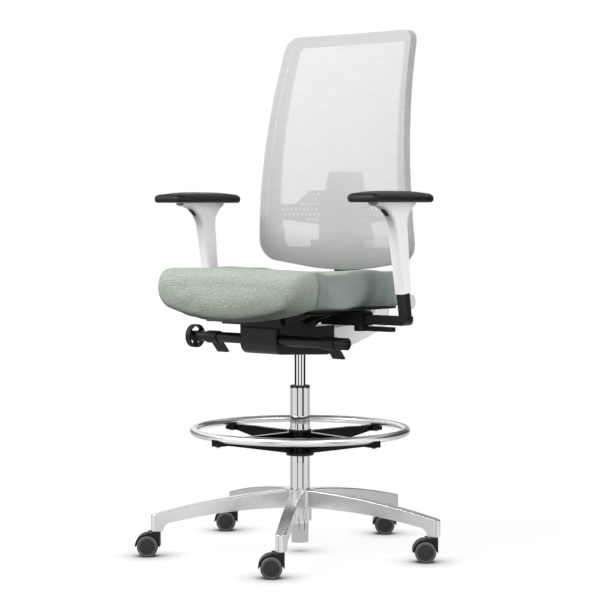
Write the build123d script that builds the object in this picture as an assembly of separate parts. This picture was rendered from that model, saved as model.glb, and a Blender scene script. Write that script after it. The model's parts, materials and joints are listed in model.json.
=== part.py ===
from build123d import *

import math
import os

# Drafting chair, in millimetres. +Z is up, the floor is Z = 0 and the column stands on the Z axis.
# The chair faces -Y, and the sitter's left hand is on the +X side.

# Clearances, per side
FIXED_FIT = 0.05  # pieces pressed or screwed together
RUN_FIT = 0.1  # pins and shafts that turn or slide in a bore
REST_GAP = 0.3  # moving faces that lie on each other
SLIDE_GAP = 0.4  # flat guides

# Star base
ARM_COUNT = 5
FIRST_ARM_HEADING = -57.0
STEM_CIRCLE_RADIUS = 359.0
TIP_REACH = 14.0
TIP_TOP = 102.0
TIP_BOTTOM = 62.0
TIP_THROAT = 22.0
ARM_ROOT_WIDTH = 33.0
ARM_TIP_WIDTH = 25.0
ARM_ARCH = 10.0
ARM_EDGE_ROUND = 2.0
ARM_END_ROUND_SHARE = 0.9
HUB_RADIUS = 34.0
HUB_TOP = 157.0
HUB_BOTTOM = 111.0
HUB_BOSS_RADIUS = 29.0
HUB_BOSS_BOTTOM = 79.0

# Casters
CASTER_HEADING = 220.0
CASTER_TRAIL = 22.4
CASTER_TOP_GAP = 1.5
STEM_RADIUS = 5.5
STEM_DEPTH = 30.0
STEM_SEAT = 14.0
STEM_BLOCK = 8.5
STEM_BLOCK_ROUND = 6.0
WHEEL_RADIUS = 26.0
WHEEL_WIDTH = 18.5
WHEEL_ROUND = 3.5
WHEEL_DISH_RADIUS = 19.0
WHEEL_DISH_DEPTH = 1.5
WHEEL_FACE = 4.0
CASTER_WEB = 9.0
WHEEL_SIDE_GAP = 0.7
HOOD_GAP = 2.0
HOOD_WALL = 3.0
HOOD_WIDTH = 41.0
AXLE_RADIUS = 3.5
AXLE_BOSS = 9.0

# Column and gas lift
COLUMN_RADIUS = 25.0
COLUMN_TOP = 411.0
COLUMN_WALL = 2.0
TAIL_RADIUS = 21.5
TAIL_BOTTOM = 24.0
TAIL_RECESS = 6.0
TAIL_PLATE = 6.0
BUSH_DEPTH = 70.0
BUSH_LIP = 5.0
BUSH_LIP_INSET = 0.5
BEARING_RADIUS = 15.0
BEARING_HEIGHT = 8.0
ROD_RADIUS = 6.0
ROD_END_RADIUS = 4.0
CLIP_RADIUS = 8.0
CLIP_HEIGHT = 2.5
PISTON_BOTTOM = 330.0
PISTON_HEIGHT = 15.0
GAS_RADIUS = 14.0
GAS_WALL = 2.5
GAS_BOTTOM = 146.0
GAS_GLAND = 15.0

# Foot ring
RING_RADIUS = 265.0
RING_TUBE_RADIUS = 10.0
RING_TUBE_WALL = 2.0
RING_HEIGHT = 304.0
SLEEVE_WALL = 3.0
SLEEVE_FLANGE_RADIUS = 34.5
SLEEVE_FLANGE_HEIGHT = 6.0
SPIDER_BOTTOM = 248.0
SPIDER_TOP = 302.0
SPIDER_RADIUS = 32.0
SPOKE_COUNT = 4
SPOKE_HEADING = -8.0
SPOKE_WEB = 8.0
SPOKE_CAP_WIDTH = 15.0
SPOKE_CAP_HEIGHT = 4.0
SPOKE_END_LENGTH = 34.0
SPOKE_END_WIDTH = 24.0
SPOKE_END_BOTTOM = 284.0
SPOKE_SADDLE = 5.0
RING_SCREW_RADIUS = 3.0
RING_SCREW_HEAD = 5.5
RING_SCREW_HEAD_HEIGHT = 3.5

# Mechanism
HOUSING_HALF_WIDTH = 58.0
HOUSING_WALL = 4.0
HOUSING_FRONT = -160.0
HOUSING_REAR = 66.0
HOUSING_TOP = 565.0
HOUSING_FRONT_BOTTOM = 503.0
HOUSING_REAR_BOTTOM = 491.0
HOUSING_CORNER = 28.0
HOUSING_EDGE_ROUND = 3.0
SOCKET_RADIUS = 21.0
SOCKET_BOTTOM = 493.0
SOCKET_TOP = 552.0
RECLINE_Y = 50.0
RECLINE_Z = 535.0
RECLINE_PIN_RADIUS = 7.0
TILT_Y = -82.0
TILT_Z = 553.0
TILT_PIN_RADIUS = 5.0
SPRING_RADIUS = 15.0
SPRING_BORE = 10.0
SPRING_LENGTH = 100.0

# Lever tubes and controls
LEVER_Y = -141.0
LEVER_Z = 537.0
LEVER_RADIUS = 13.0
LEVER_WALL = 2.5
LEVER_SOCKET = 8.0
LEFT_LEVER_END = 232.0
RIGHT_LEVER_END = 207.0
KNOB_RADIUS = 14.5
KNOB_LENGTH = 31.0
KNOB_SPIGOT = 40.0
KNOB_DISH_RADIUS = 9.0
KNOB_DISH_DEPTH = 3.0
WHEEL_RING_RADIUS = 29.0
WHEEL_RING_WALL = 4.0
WHEEL_RING_WIDTH = 15.0
WHEEL_HUB_LENGTH = 24.0
WHEEL_SPOKE_WIDTH = 9.0
WHEEL_SPOKE_COUNT = 3
PADDLE_COLLAR_WALL = 2.5
PADDLE_LENGTH = 36.0
PADDLE_THICKNESS = 5.0
PADDLE_REACH = 34.0
PADDLE_DROP = 38.0
LEFT_PADDLE_X = 211.0
RIGHT_PADDLE_X = 160.0

# Seat support
CARRIER_PLATE_HALF = 150.0
CARRIER_PLATE = 6.0
CARRIER_FRONT = -150.0
CARRIER_REAR = 95.0
TILT_LUG_WIDTH = 7.0
TILT_LUG_RADIUS = 13.0
CHEEK_REAR = 40.0
CHEEK_LEVER_GAP = 6.0
TILT_LUG_ROUND = 8.0
GUIDE_WALL = 4.0
GUIDE_INNER_END = 66.0
GUIDE_OUTER_END = 196.0
RIB_THICKNESS = 6.0
RIB_OUTER = 146.0
RIB_DROP = 24.0
RAIL_X = 118.0
RAIL_WIDTH = 16.0
RAIL_HEIGHT = 8.0
RAIL_FRONT = -140.0
RAIL_REAR = 85.0
RAIL_LIP = 6.0
RAIL_LIP_GAP = 2.0

# Seat
PAN_THICKNESS = 4.5
PAN_HALF = 230.0
PAN_FRONT = -212.0
PAN_REAR = 128.0
PAN_CORNER = 55.0
SEAT_HALF = 246.0
SEAT_FRONT = -300.0
SEAT_REAR = 142.0
SEAT_TOP = 709.0
SEAT_APRON_BOTTOM = 585.0
SEAT_APRON_RISE = 26.0
SEAT_DISH = 14.0
SEAT_SIDE_BULGE = 5.0
SEAT_NOSE_INSET = 46.0
SEAT_NOSE_LIFT = 18.0
SEAT_NOSE_DROP = 38.0
SEAT_NOSE_CROWN = 6.0
SEAT_CORNER_TUCK = 26.0
SEAT_LIP_BACK = 16.0
SEAT_LIP_INSET = 22.0
SEAT_LIP_LIFT = 2.0
SEAT_LIP_DROP = 12.0
SEAT_BROW_BACK = 48.0
SEAT_BROW_INSET = 8.0
SEAT_BROW_CROWN = 5.0
SEAT_APRON_FLAT = 4.0
SEAT_THIGH_BACK = 90.0
SEAT_THIGH_INSET = 2.0
SEAT_THIGH_CROWN = 2.0
SEAT_THIGH_SAG = 5.0
SEAT_MIDDLE_BACK = 220.0
SEAT_HIP_AHEAD = 80.0
SEAT_HIP_DROP = 2.0
SEAT_TAIL_AHEAD = 20.0
SEAT_TAIL_INSET = 10.0
SEAT_TAIL_DROP = 5.0
SEAT_END_INSET = 34.0
SEAT_END_LIFT = 8.0
SEAT_END_DROP = 22.0
SEAT_UNDERCUT = 2.0
DEPTH_LEVER_X = -186.0
DEPTH_LEVER_Y = -86.0
DEPTH_LEVER_LENGTH = 58.0
DEPTH_LEVER_WIDTH = 24.0
DEPTH_LEVER_BOTTOM = 573.0
DEPTH_LEVER_THICKNESS = 9.0
DEPTH_PIN_RADIUS = 3.0
DEPTH_BARREL_RADIUS = 6.0
DEPTH_EAR = 6.0

# Arms
ARM_X = 310.0
BAR_Y = 22.0
BAR_HALF = 16.0
BAR_BOTTOM = 575.0
BAR_TOP = 597.0
BAR_INNER_END = 96.0
ELBOW_ROUND = 12.0
POST_WIDTH = 24.0
POST_DEPTH = 30.0
POST_ROUND = 7.0
POST_LEAN = 9.0
POST_OFFSET = 2.0
POST_LENGTH = 212.0
SLEEVE_START = 68.0
SLEEVE_WIDTH = 30.0
SLEEVE_SIDE = 3.0
SLEEVE_WAIST = 276.0
SLEEVE_WAIST_PROUD = 9.0
SLEEVE_FLARE_ROUND = 70.0
SLEEVE_TOP = 869.0
SLEEVE_LIP = 7.0
SLEEVE_TOP_FRONT = -105.0
SLEEVE_TOP_REAR = 47.0
SLEEVE_REAR_BEND = 250.0
SLEEVE_REAR_PROUD = 12.0
SLEEVE_REAR_ROUND = 45.0
SLEEVE_ROUND = 10.0
SLEEVE_TRAVEL = 50.0
BUTTON_LENGTH = 27.0
BUTTON_WIDTH = 11.0
BUTTON_PROUD = 2.0
BUTTON_HEIGHT = 7.0
BUTTON_TRAVEL = 3.0
BUTTON_TURN = 5.0
PIVOT_Y = -15.0
PIVOT_RADIUS = 11.0
PIVOT_DEPTH = 10.0
PLATE_WIDTH = 56.0
PLATE_LENGTH = 120.0
PLATE_THICKNESS = 4.0
PLATE_ROUND = 20.0
PAD_Y = -33.0
PAD_WIDTH = 96.0
PAD_LENGTH = 246.0
PAD_ROUND = 19.0
PAD_TOP = 897.0
PAD_EDGE = 11.0
PAD_TRAVEL = 27.0
CLAMP_X = 176.0
CLAMP_BOSS_RADIUS = 17.0
CLAMP_THICKNESS = 13.0
CLAMP_LENGTH = 100.0
CLAMP_WIDTH = 20.0
CLAMP_END_ROUND = 5.0
CLAMP_BLADE_INSET = 1.0
CLAMP_STUD_RADIUS = 5.0

# Back
BACK_TOP_HALF = 200.0
BACK_TOP = 1299.0
BACK_WAIST_HALF = 234.6
BACK_WAIST = 880.0
BACK_LOW_HALF = 244.5
BACK_LOW = 729.0
BACK_BOTTOM = 693.0
BACK_TOP_ROUND = 34.0
BACK_WAIST_ROUND = 1400.0
BACK_LOW_ROUND = 52.0
BACK_BOTTOM_ROUND = 700.0
BACK_ARC_LOW_Y = 162.0
BACK_ARC_LOW_Z = 660.0
BACK_ARC_MIDDLE_Y = 141.0
BACK_ARC_MIDDLE_Z = 880.0
BACK_ARC_HIGH_Y = 217.0
BACK_ARC_HIGH_Z = 1330.0
BACK_WRAP_RADIUS = 1350.0
BACK_WRAP_MARGIN = 1.2
MESH_THICKNESS = 2.0
MESH_SKIRT = 1.5
FRAME_DEPTH = 25.0
FRAME_RIM = 9.0
FLANGE_THICKNESS = 5.5
FLANGE_WIDTH = 17.0
WINDOW_TOP_HALF = 172.0
WINDOW_TOP = 1273.0
WINDOW_WAIST_HALF = 192.0
WINDOW_WAIST = 880.0
WINDOW_LOW_HALF = 181.0
WINDOW_LOW = 757.0
WINDOW_ROUND = 18.0
WINDOW_WAIST_ROUND = 72.0
SPINE_HALF = 87.0
SPINE_SHOULDER = 800.0
SPINE_NECK_HALF = 64.0
SPINE_NECK = 892.0
SPINE_TOP_HALF = 53.0
SPINE_TOP = 949.0
SPINE_SETBACK = 36.0
SPINE_THICKNESS = 8.0
SPINE_BRIDGE = 775.0
SPINE_BRIDGE_LAP = 11.0
SPINE_ROUND = 18.0
SPINE_TOP_ROUND = 9.0
TONGUE_HALF = 30.0
TONGUE_FRONT = 196.0
TONGUE_THICKNESS = 14.0
TONGUE_TOP = 900.0
CHANNEL_WALL = 5.5
CHANNEL_BOTTOM = 770.0
CHANNEL_TOP = 885.0
RACK_HALF = 26.0
RACK_BOTTOM = 655.0
RACK_TOP = 728.0
RACK_TOOTH = 6.0
RACK_GAP = 1.5
LUMBAR_HALF = 188.0
LUMBAR_WING_BOTTOM = 828.0
LUMBAR_WING_TOP = 868.0
LUMBAR_STEP_HALF = 137.0
LUMBAR_CREST_HALF = 92.0
LUMBAR_TOP = 902.0
LUMBAR_BOTTOM = 808.0
LUMBAR_THICKNESS = 4.0
LUMBAR_PLATE_HALF = 58.0
LUMBAR_PLATE_THICKNESS = 8.0
LUMBAR_SLIDER_HALF = 24.0
LUMBAR_SLIDER_LOW = 828.0
LUMBAR_SLIDER_HIGH = 884.0
LUMBAR_HOLE_RADIUS = 3.8
LUMBAR_HOLE_PITCH = 13.0
LUMBAR_MARGIN = 8.0
LUMBAR_FRONT_GAP = 9.0
LUMBAR_REAR_GAP = 0.8
LUMBAR_CREST_ROUND = 8.0
LUMBAR_STEP_ROUND = 8.0
LUMBAR_WING_TOP_ROUND = 6.0
LUMBAR_WING_LOW_ROUND = 10.0
LUMBAR_SAG_ROUND = 400.0
RIB_PITCH = 5.0
RIB_DEPTH = 0.8
RIB_GROOVE = 1.7

# Back carrier
CARRIER_HALF = 50.0
CARRIER_NECK_START = 640.0
CARRIER_NECK_END = 735.0
CARRIER_NECK_ROUND = 60.0
CARRIER_LUG = 10.5
CARRIER_LUG_ROUND = 16.0
CARRIER_KEEL_BACK = 45.0
CARRIER_KEEL_DROP = 38.0
CARRIER_KEEL_ROUND = 40.0
CARRIER_HEEL_BACK = 240.0
CARRIER_HEEL_RISE = 13.0
CARRIER_HEEL_ROUND = 45.0
CARRIER_BEND_BACK = 254.0
CARRIER_BEND_RISE = 75.0
CARRIER_BEND_ROUND = 40.0
CARRIER_REAR_RISE = 180.0
CARRIER_REAR_ROUND = 50.0
CARRIER_FRONT_RISE = 165.0
CARRIER_FRONT_ROUND = 30.0
CARRIER_CROOK_BACK = 202.0
CARRIER_CROOK_RISE = 77.0
CARRIER_CROOK_ROUND = 25.0
CARRIER_THROAT_BACK = 185.0
CARRIER_THROAT_RISE = 47.0
CARRIER_THROAT_ROUND = 20.0
CARRIER_SHOULDER_BACK = 90.0
CARRIER_SHOULDER_RISE = 27.0
CARRIER_SHOULDER_ROUND = 40.0
CARRIER_TIP_ROUND = 3.0
LOCK_KNOB_Y = 280.0
LOCK_KNOB_Z = 618.0
LOCK_KNOB_RADIUS = 20.0
LOCK_KNOB_X = 115.0
LOCK_KNOB_LENGTH = 22.0
LOCK_KNOB_ROUND = 5.0
LOCK_SHAFT_RADIUS = 6.0
LOCK_SHAFT_SEAT = 25.0

# Worked-out places
CASTER_TOP = TIP_BOTTOM - CASTER_TOP_GAP
TAIL_PLATE_TOP = TAIL_BOTTOM + TAIL_RECESS + TAIL_PLATE
BEARING_TOP = TAIL_PLATE_TOP + BEARING_HEIGHT
SLEEVE_RADIUS = COLUMN_RADIUS + RUN_FIT + SLEEVE_WALL
PLATE_BOTTOM = BAR_TOP + SLIDE_GAP
PLATE_TOP = PLATE_BOTTOM + CARRIER_PLATE
RAIL_BOTTOM = PLATE_TOP + REST_GAP
PAN_BOTTOM = RAIL_BOTTOM + RAIL_HEIGHT
PAN_TOP = PAN_BOTTOM + PAN_THICKNESS
CUSHION_BOTTOM = PAN_TOP + REST_GAP
GUIDE_BOTTOM = BAR_BOTTOM - SLIDE_GAP - GUIDE_WALL
POST_FOOT = (BAR_Y + POST_OFFSET, (BAR_BOTTOM + BAR_TOP) / 2)
PAD_PLATE_BOTTOM = SLEEVE_TOP + REST_GAP
PAD_PLATE_TOP = PAD_PLATE_BOTTOM + PLATE_THICKNESS
PAD_BOTTOM = PAD_PLATE_BOTTOM + REST_GAP
TONGUE_REAR = TONGUE_FRONT + TONGUE_THICKNESS
BRIDGE_BOTTOM = WINDOW_LOW - SPINE_BRIDGE_LAP
BIG = 2000.0


def save(name, shape):
    """Write one node."""
    os.makedirs("parts", exist_ok=True)
    export_step(shape, f"parts/{name}.step")


def span(x, y, z):
    """A box from its low and high ends along each axis."""
    size = [high - low for low, high in (x, y, z)]
    middle = [(high + low) / 2 for low, high in (x, y, z)]
    return Pos(*middle) * Box(*size)


def upright(radius, low, high, x=0.0, y=0.0):
    """A cylinder along Z."""
    return Pos(x, y, (low + high) / 2) * Cylinder(radius, high - low)


def along_x(radius, low, high, y, z):
    """A cylinder along X."""
    return Pos((low + high) / 2, y, z) * Rot(0, 90, 0) * Cylinder(radius, high - low)


def along_y(radius, low, high, x, z):
    """A cylinder along Y."""
    return Pos(x, (low + high) / 2, z) * Rot(90, 0, 0) * Cylinder(radius, high - low)


def rounded(points, radii):
    """A closed outline whose corners are rounded by the given radii."""
    return make_face(FilletPolyline(*points, radius=radii, close=True))


def side_slab(outline, half):
    """A YZ outline given thickness on both sides of X = 0."""
    return extrude(Plane.YZ * outline, amount=half, both=True)


def front_slab(outline):
    """An XZ outline run right through the chair from front to back."""
    return extrude(Plane.XZ * outline, amount=BIG, both=True)


def other_side(shape):
    """The mirror image on the sitter's right."""
    return mirror(shape, about=Plane.YZ)


# Star base and column


def arm_headings():
    return [FIRST_ARM_HEADING + index * 360.0 / ARM_COUNT for index in range(ARM_COUNT)]


def base_arm():
    """One arm along +X: an arched web with a boss at its tip."""
    tip = STEM_CIRCLE_RADIUS + TIP_REACH
    boss = STEM_CIRCLE_RADIUS - TIP_REACH
    throat = boss - TIP_THROAT
    throat_top = TIP_BOTTOM + TIP_THROAT
    bend = TIP_THROAT * math.sqrt(0.5)
    top_middle = (tip / 2, (HUB_TOP + TIP_TOP) / 2 + ARM_ARCH)
    low_middle = (throat / 2, (HUB_BOTTOM + throat_top) / 2 + ARM_ARCH)
    side = make_face(
        [
            ThreePointArc((0, HUB_TOP), top_middle, (tip, TIP_TOP)),
            Line((tip, TIP_TOP), (tip, TIP_BOTTOM)),
            Line((tip, TIP_BOTTOM), (boss, TIP_BOTTOM)),
            ThreePointArc((boss, TIP_BOTTOM), (throat + bend, TIP_BOTTOM + bend), (throat, throat_top)),
            ThreePointArc((throat, throat_top), low_middle, (0, HUB_BOTTOM)),
            Line((0, HUB_BOTTOM), (0, HUB_TOP)),
        ]
    )
    root = ARM_ROOT_WIDTH / 2
    end = ARM_TIP_WIDTH / 2
    plan_points = [(0, -root), (tip, -end), (tip, end), (0, root)]
    end_round = end * ARM_END_ROUND_SHARE
    plan = rounded(plan_points, [0, end_round, end_round, 0])
    web = extrude(Plane.XZ * side, amount=ARM_ROOT_WIDTH, both=True)
    arm = web & extrude(plan, amount=HUB_TOP + ARM_ARCH)
    top_face = arm.faces().filter_by(GeomType.CYLINDER).sort_by(Axis.Z)[-1]
    return fillet(top_face.edges(), ARM_EDGE_ROUND)


def column_taper(grow):
    """The tapered plug of the column inside the hub, grown by a clearance."""
    low = TAIL_RADIUS + grow
    high = COLUMN_RADIUS + grow
    plug = Cone(low, high, HUB_TOP - HUB_BOSS_BOTTOM)
    return Pos(0, 0, (HUB_TOP + HUB_BOSS_BOTTOM) / 2) * plug


def star_base():
    body = upright(HUB_RADIUS, HUB_BOTTOM, HUB_TOP) + upright(HUB_BOSS_RADIUS, HUB_BOSS_BOTTOM, HUB_BOTTOM)
    for heading in arm_headings():
        body = body + Rot(0, 0, heading) * base_arm()
    body = body - column_taper(FIXED_FIT)
    for heading in arm_headings():
        socket = upright(STEM_RADIUS + RUN_FIT, 0, TIP_BOTTOM + STEM_DEPTH + REST_GAP, x=STEM_CIRCLE_RADIUS)
        body = body - Rot(0, 0, heading) * socket
    return body


def column_tube():
    bore = COLUMN_RADIUS - COLUMN_WALL
    tail_bore = TAIL_RADIUS - COLUMN_WALL
    body = upright(COLUMN_RADIUS, HUB_TOP, COLUMN_TOP) + column_taper(0)
    body = body + upright(TAIL_RADIUS, TAIL_BOTTOM, HUB_BOSS_BOTTOM)
    body = body - upright(bore, HUB_TOP, COLUMN_TOP)
    body = body - upright(tail_bore, TAIL_PLATE_TOP, HUB_TOP)
    body = body - upright(tail_bore, TAIL_BOTTOM, TAIL_BOTTOM + TAIL_RECESS)
    return body - upright(ROD_END_RADIUS + RUN_FIT, TAIL_BOTTOM, TAIL_PLATE_TOP)


def column_bush():
    plug = upright(COLUMN_RADIUS - COLUMN_WALL - FIXED_FIT, COLUMN_TOP - BUSH_DEPTH, COLUMN_TOP)
    lip = upright(COLUMN_RADIUS - BUSH_LIP_INSET, COLUMN_TOP, COLUMN_TOP + BUSH_LIP)
    bore = upright(GAS_RADIUS + RUN_FIT, COLUMN_TOP - BUSH_DEPTH, COLUMN_TOP + BUSH_LIP)
    return plug + lip - bore


def thrust_bearing():
    ring = upright(BEARING_RADIUS, TAIL_PLATE_TOP, BEARING_TOP)
    return ring - upright(ROD_END_RADIUS + RUN_FIT, TAIL_PLATE_TOP, BEARING_TOP)


def piston_rod():
    seat = BEARING_TOP + RUN_FIT
    rod = upright(ROD_RADIUS, seat, PISTON_BOTTOM)
    end = upright(ROD_END_RADIUS, TAIL_BOTTOM, seat)
    head = upright(GAS_RADIUS - GAS_WALL - RUN_FIT, PISTON_BOTTOM, PISTON_BOTTOM + PISTON_HEIGHT)
    return rod + end + head


def rod_clip():
    top = TAIL_BOTTOM + TAIL_RECESS - REST_GAP
    ring = upright(CLIP_RADIUS, top - CLIP_HEIGHT, top)
    return ring - upright(ROD_END_RADIUS + FIXED_FIT, top - CLIP_HEIGHT, top)


def gas_cylinder():
    body = upright(GAS_RADIUS, GAS_BOTTOM, SOCKET_TOP)
    chamber = upright(GAS_RADIUS - GAS_WALL, GAS_BOTTOM + GAS_GLAND, SOCKET_TOP - GAS_GLAND)
    return body - chamber - upright(ROD_RADIUS + RUN_FIT, GAS_BOTTOM, GAS_BOTTOM + GAS_GLAND)


# Casters


def caster_place(heading):
    """Where a caster's own frame (stem on Z, wheels trailing along +X) stands in the chair."""
    stem = Rot(0, 0, heading) * Pos(STEM_CIRCLE_RADIUS, 0, 0)
    return Pos(stem.position) * Rot(0, 0, CASTER_HEADING)


def caster_hood():
    half = HOOD_WIDTH / 2
    web = CASTER_WEB / 2
    outer = WHEEL_RADIUS + HOOD_GAP + HOOD_WALL
    upper = (WHEEL_RADIUS, WHEEL_RADIUS + outer)
    arch = along_y(outer, -half, half, CASTER_TRAIL, WHEEL_RADIUS)
    arch = arch & span((CASTER_TRAIL - outer, CASTER_TRAIL + outer), (-half, half), upper)
    block = span((-STEM_BLOCK, CASTER_TRAIL), (-half, half), (WHEEL_RADIUS, CASTER_TOP))
    corner = block.edges().filter_by(Axis.Z).sort_by(Axis.X)[:2]
    block = fillet(corner, STEM_BLOCK_ROUND)
    body = arch + block
    for side in (-1, 1):
        ends = sorted((side * web, side * HOOD_WIDTH))
        body = body - along_y(WHEEL_RADIUS + HOOD_GAP, ends[0], ends[1], CASTER_TRAIL, WHEEL_RADIUS)
    body = body + along_y(AXLE_BOSS, -web, web, CASTER_TRAIL, WHEEL_RADIUS)
    body = body - along_y(AXLE_RADIUS + FIXED_FIT, -web, web, CASTER_TRAIL, WHEEL_RADIUS)
    return body - upright(STEM_RADIUS + FIXED_FIT, CASTER_TOP - STEM_SEAT, CASTER_TOP)


def caster_pins():
    """The swivel stem and the axle."""
    stem = upright(STEM_RADIUS, CASTER_TOP - STEM_SEAT, TIP_BOTTOM + STEM_DEPTH)
    reach = CASTER_WEB / 2 + WHEEL_SIDE_GAP + WHEEL_WIDTH - WHEEL_FACE - REST_GAP
    axle = along_y(AXLE_RADIUS, -reach, reach, CASTER_TRAIL, WHEEL_RADIUS)
    return Compound([stem, axle])


def caster_wheels():
    inner = CASTER_WEB / 2 + WHEEL_SIDE_GAP
    outer = inner + WHEEL_WIDTH
    wheel = along_y(WHEEL_RADIUS, inner, outer, 0, 0)
    wheel = fillet(wheel.edges().filter_by(GeomType.CIRCLE), WHEEL_ROUND)
    wheel = wheel - along_y(WHEEL_DISH_RADIUS, outer - WHEEL_DISH_DEPTH, outer, 0, 0)
    wheel = wheel - along_y(AXLE_RADIUS + RUN_FIT, inner, outer - WHEEL_FACE, 0, 0)
    pair = [wheel, mirror(wheel, about=Plane.XZ)]
    return Pos(CASTER_TRAIL, 0, WHEEL_RADIUS) * Compound(pair)


# Foot ring


def spoke_headings():
    return [SPOKE_HEADING + index * 360.0 / SPOKE_COUNT for index in range(SPOKE_COUNT)]


def ring_tube(grow=0.0):
    return Pos(0, 0, RING_HEIGHT) * Torus(RING_RADIUS, RING_TUBE_RADIUS + grow)


def foot_ring():
    return ring_tube() - ring_tube(-RING_TUBE_WALL)


def foot_ring_sleeve():
    top = SPIDER_TOP + SPOKE_CAP_HEIGHT
    low = SPIDER_BOTTOM - REST_GAP - SLEEVE_FLANGE_HEIGHT
    body = upright(SLEEVE_RADIUS, low, top) + upright(SLEEVE_FLANGE_RADIUS, low, low + SLEEVE_FLANGE_HEIGHT)
    return body - upright(COLUMN_RADIUS + RUN_FIT, low, top)


def ring_spoke():
    """One spoke along +X: a tapering web under a flat cap, with a saddle block at its end."""
    block_start = RING_RADIUS + RING_TUBE_RADIUS - SPOKE_END_LENGTH
    saddle_top = RING_HEIGHT - SPOKE_SADDLE
    points = [
        (0, SPIDER_BOTTOM),
        (SPIDER_RADIUS, SPIDER_BOTTOM),
        (block_start, SPOKE_END_BOTTOM),
        (block_start, saddle_top),
        (0, SPIDER_TOP),
    ]
    web = make_face(Polyline(*points, close=True))
    cap_points = [
        (0, SPIDER_TOP - SPOKE_CAP_HEIGHT),
        (block_start, saddle_top - SPOKE_CAP_HEIGHT),
        (block_start, saddle_top),
        (0, SPIDER_TOP),
    ]
    cap = make_face(Polyline(*cap_points, close=True))
    body = extrude(Plane.XZ * web, amount=SPOKE_WEB / 2, both=True)
    body = body + extrude(Plane.XZ * cap, amount=SPOKE_CAP_WIDTH / 2, both=True)
    reach = (block_start, block_start + SPOKE_END_LENGTH)
    half = SPOKE_END_WIDTH / 2
    return body + span(reach, (-half, half), (SPOKE_END_BOTTOM, saddle_top))


def foot_ring_hub():
    body = upright(SPIDER_RADIUS, SPIDER_BOTTOM, SPIDER_TOP)
    for heading in spoke_headings():
        body = body + Rot(0, 0, heading) * ring_spoke()
    body = body - ring_tube(FIXED_FIT) - upright(SLEEVE_RADIUS + RUN_FIT, SPIDER_BOTTOM, SPIDER_TOP)
    for heading in spoke_headings():
        hole = upright(RING_SCREW_RADIUS + FIXED_FIT, SPOKE_END_BOTTOM, RING_HEIGHT, x=RING_RADIUS)
        body = body - Rot(0, 0, heading) * hole
    return body


def foot_ring_screws():
    """One screw under each saddle, up to the ring."""
    head_low = SPOKE_END_BOTTOM - RING_SCREW_HEAD_HEIGHT
    shank_top = RING_HEIGHT - RING_TUBE_RADIUS - FIXED_FIT
    shank = upright(RING_SCREW_RADIUS, head_low, shank_top, x=RING_RADIUS)
    screw = shank + upright(RING_SCREW_HEAD, head_low, SPOKE_END_BOTTOM, x=RING_RADIUS)
    return Compound([Rot(0, 0, heading) * screw for heading in spoke_headings()])


# Mechanism and controls


def housing_outline(inset):
    points = [
        (HOUSING_FRONT + inset, HOUSING_TOP),
        (HOUSING_FRONT + inset, HOUSING_FRONT_BOTTOM + inset),
        (HOUSING_REAR - inset, HOUSING_REAR_BOTTOM + inset),
        (HOUSING_REAR - inset, HOUSING_TOP),
    ]
    corner = HOUSING_CORNER - inset
    return rounded(points, [0, corner, corner, 0])


def mechanism_housing():
    """An open tub with a socket for the gas lift, open at the rear for the back carrier."""
    body = side_slab(housing_outline(0), HOUSING_HALF_WIDTH)
    outer_edges = [edge for face in body.faces().filter_by(Axis.X) for edge in face.edges()]
    low_edges = [edge for edge in outer_edges if edge.center().Z < HOUSING_TOP - REST_GAP]
    body = fillet(low_edges, HOUSING_EDGE_ROUND)
    body = body - side_slab(housing_outline(HOUSING_WALL), HOUSING_HALF_WIDTH - HOUSING_WALL)
    mouth = CARRIER_HALF + HOUSING_WALL
    mouth_front = SOCKET_RADIUS + HOUSING_WALL
    body = body - span((-mouth, mouth), (mouth_front, HOUSING_REAR + HOUSING_WALL), (0, HOUSING_TOP))
    body = body + upright(SOCKET_RADIUS, SOCKET_BOTTOM, SOCKET_TOP)
    body = body - upright(GAS_RADIUS + FIXED_FIT, SOCKET_BOTTOM, SOCKET_TOP)
    wide = HOUSING_HALF_WIDTH + HOUSING_WALL
    body = body - along_x(RECLINE_PIN_RADIUS + FIXED_FIT, -wide, wide, RECLINE_Y, RECLINE_Z)
    body = body - along_x(TILT_PIN_RADIUS + FIXED_FIT, -wide, wide, TILT_Y, TILT_Z)
    return body - along_x(LEVER_RADIUS + FIXED_FIT, -wide, wide, LEVER_Y, LEVER_Z)


def recline_pin():
    return along_x(RECLINE_PIN_RADIUS, -HOUSING_HALF_WIDTH, HOUSING_HALF_WIDTH, RECLINE_Y, RECLINE_Z)


def tilt_pin():
    reach = HOUSING_HALF_WIDTH + SLIDE_GAP + TILT_LUG_WIDTH
    return along_x(TILT_PIN_RADIUS, -reach, reach, TILT_Y, TILT_Z)


def recline_spring():
    """The tension spring's can, lying on the housing's sloping floor behind the front corner."""
    front = HOUSING_FRONT + HOUSING_CORNER
    rear = front + SPRING_LENGTH
    slope = (HOUSING_REAR_BOTTOM - HOUSING_FRONT_BOTTOM) / (HOUSING_REAR - HOUSING_FRONT)
    floor = HOUSING_FRONT_BOTTOM + HOUSING_WALL + slope * HOUSING_CORNER
    height = floor + REST_GAP + SPRING_RADIUS
    return along_y(SPRING_RADIUS, front, rear, 0, height) - along_y(SPRING_BORE, front, rear, 0, height)


def lever_tube(end):
    """A tube along +X from inside the housing wall."""
    start = HOUSING_HALF_WIDTH - LEVER_SOCKET
    tube = along_x(LEVER_RADIUS, start, end, LEVER_Y, LEVER_Z)
    return tube - along_x(LEVER_RADIUS - LEVER_WALL, start, end, LEVER_Y, LEVER_Z)


def knob_spigot(end):
    """The shaft of an end control inside its tube."""
    radius = LEVER_RADIUS - LEVER_WALL - RUN_FIT
    return along_x(radius, end - KNOB_SPIGOT, end + REST_GAP, LEVER_Y, LEVER_Z)


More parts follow.
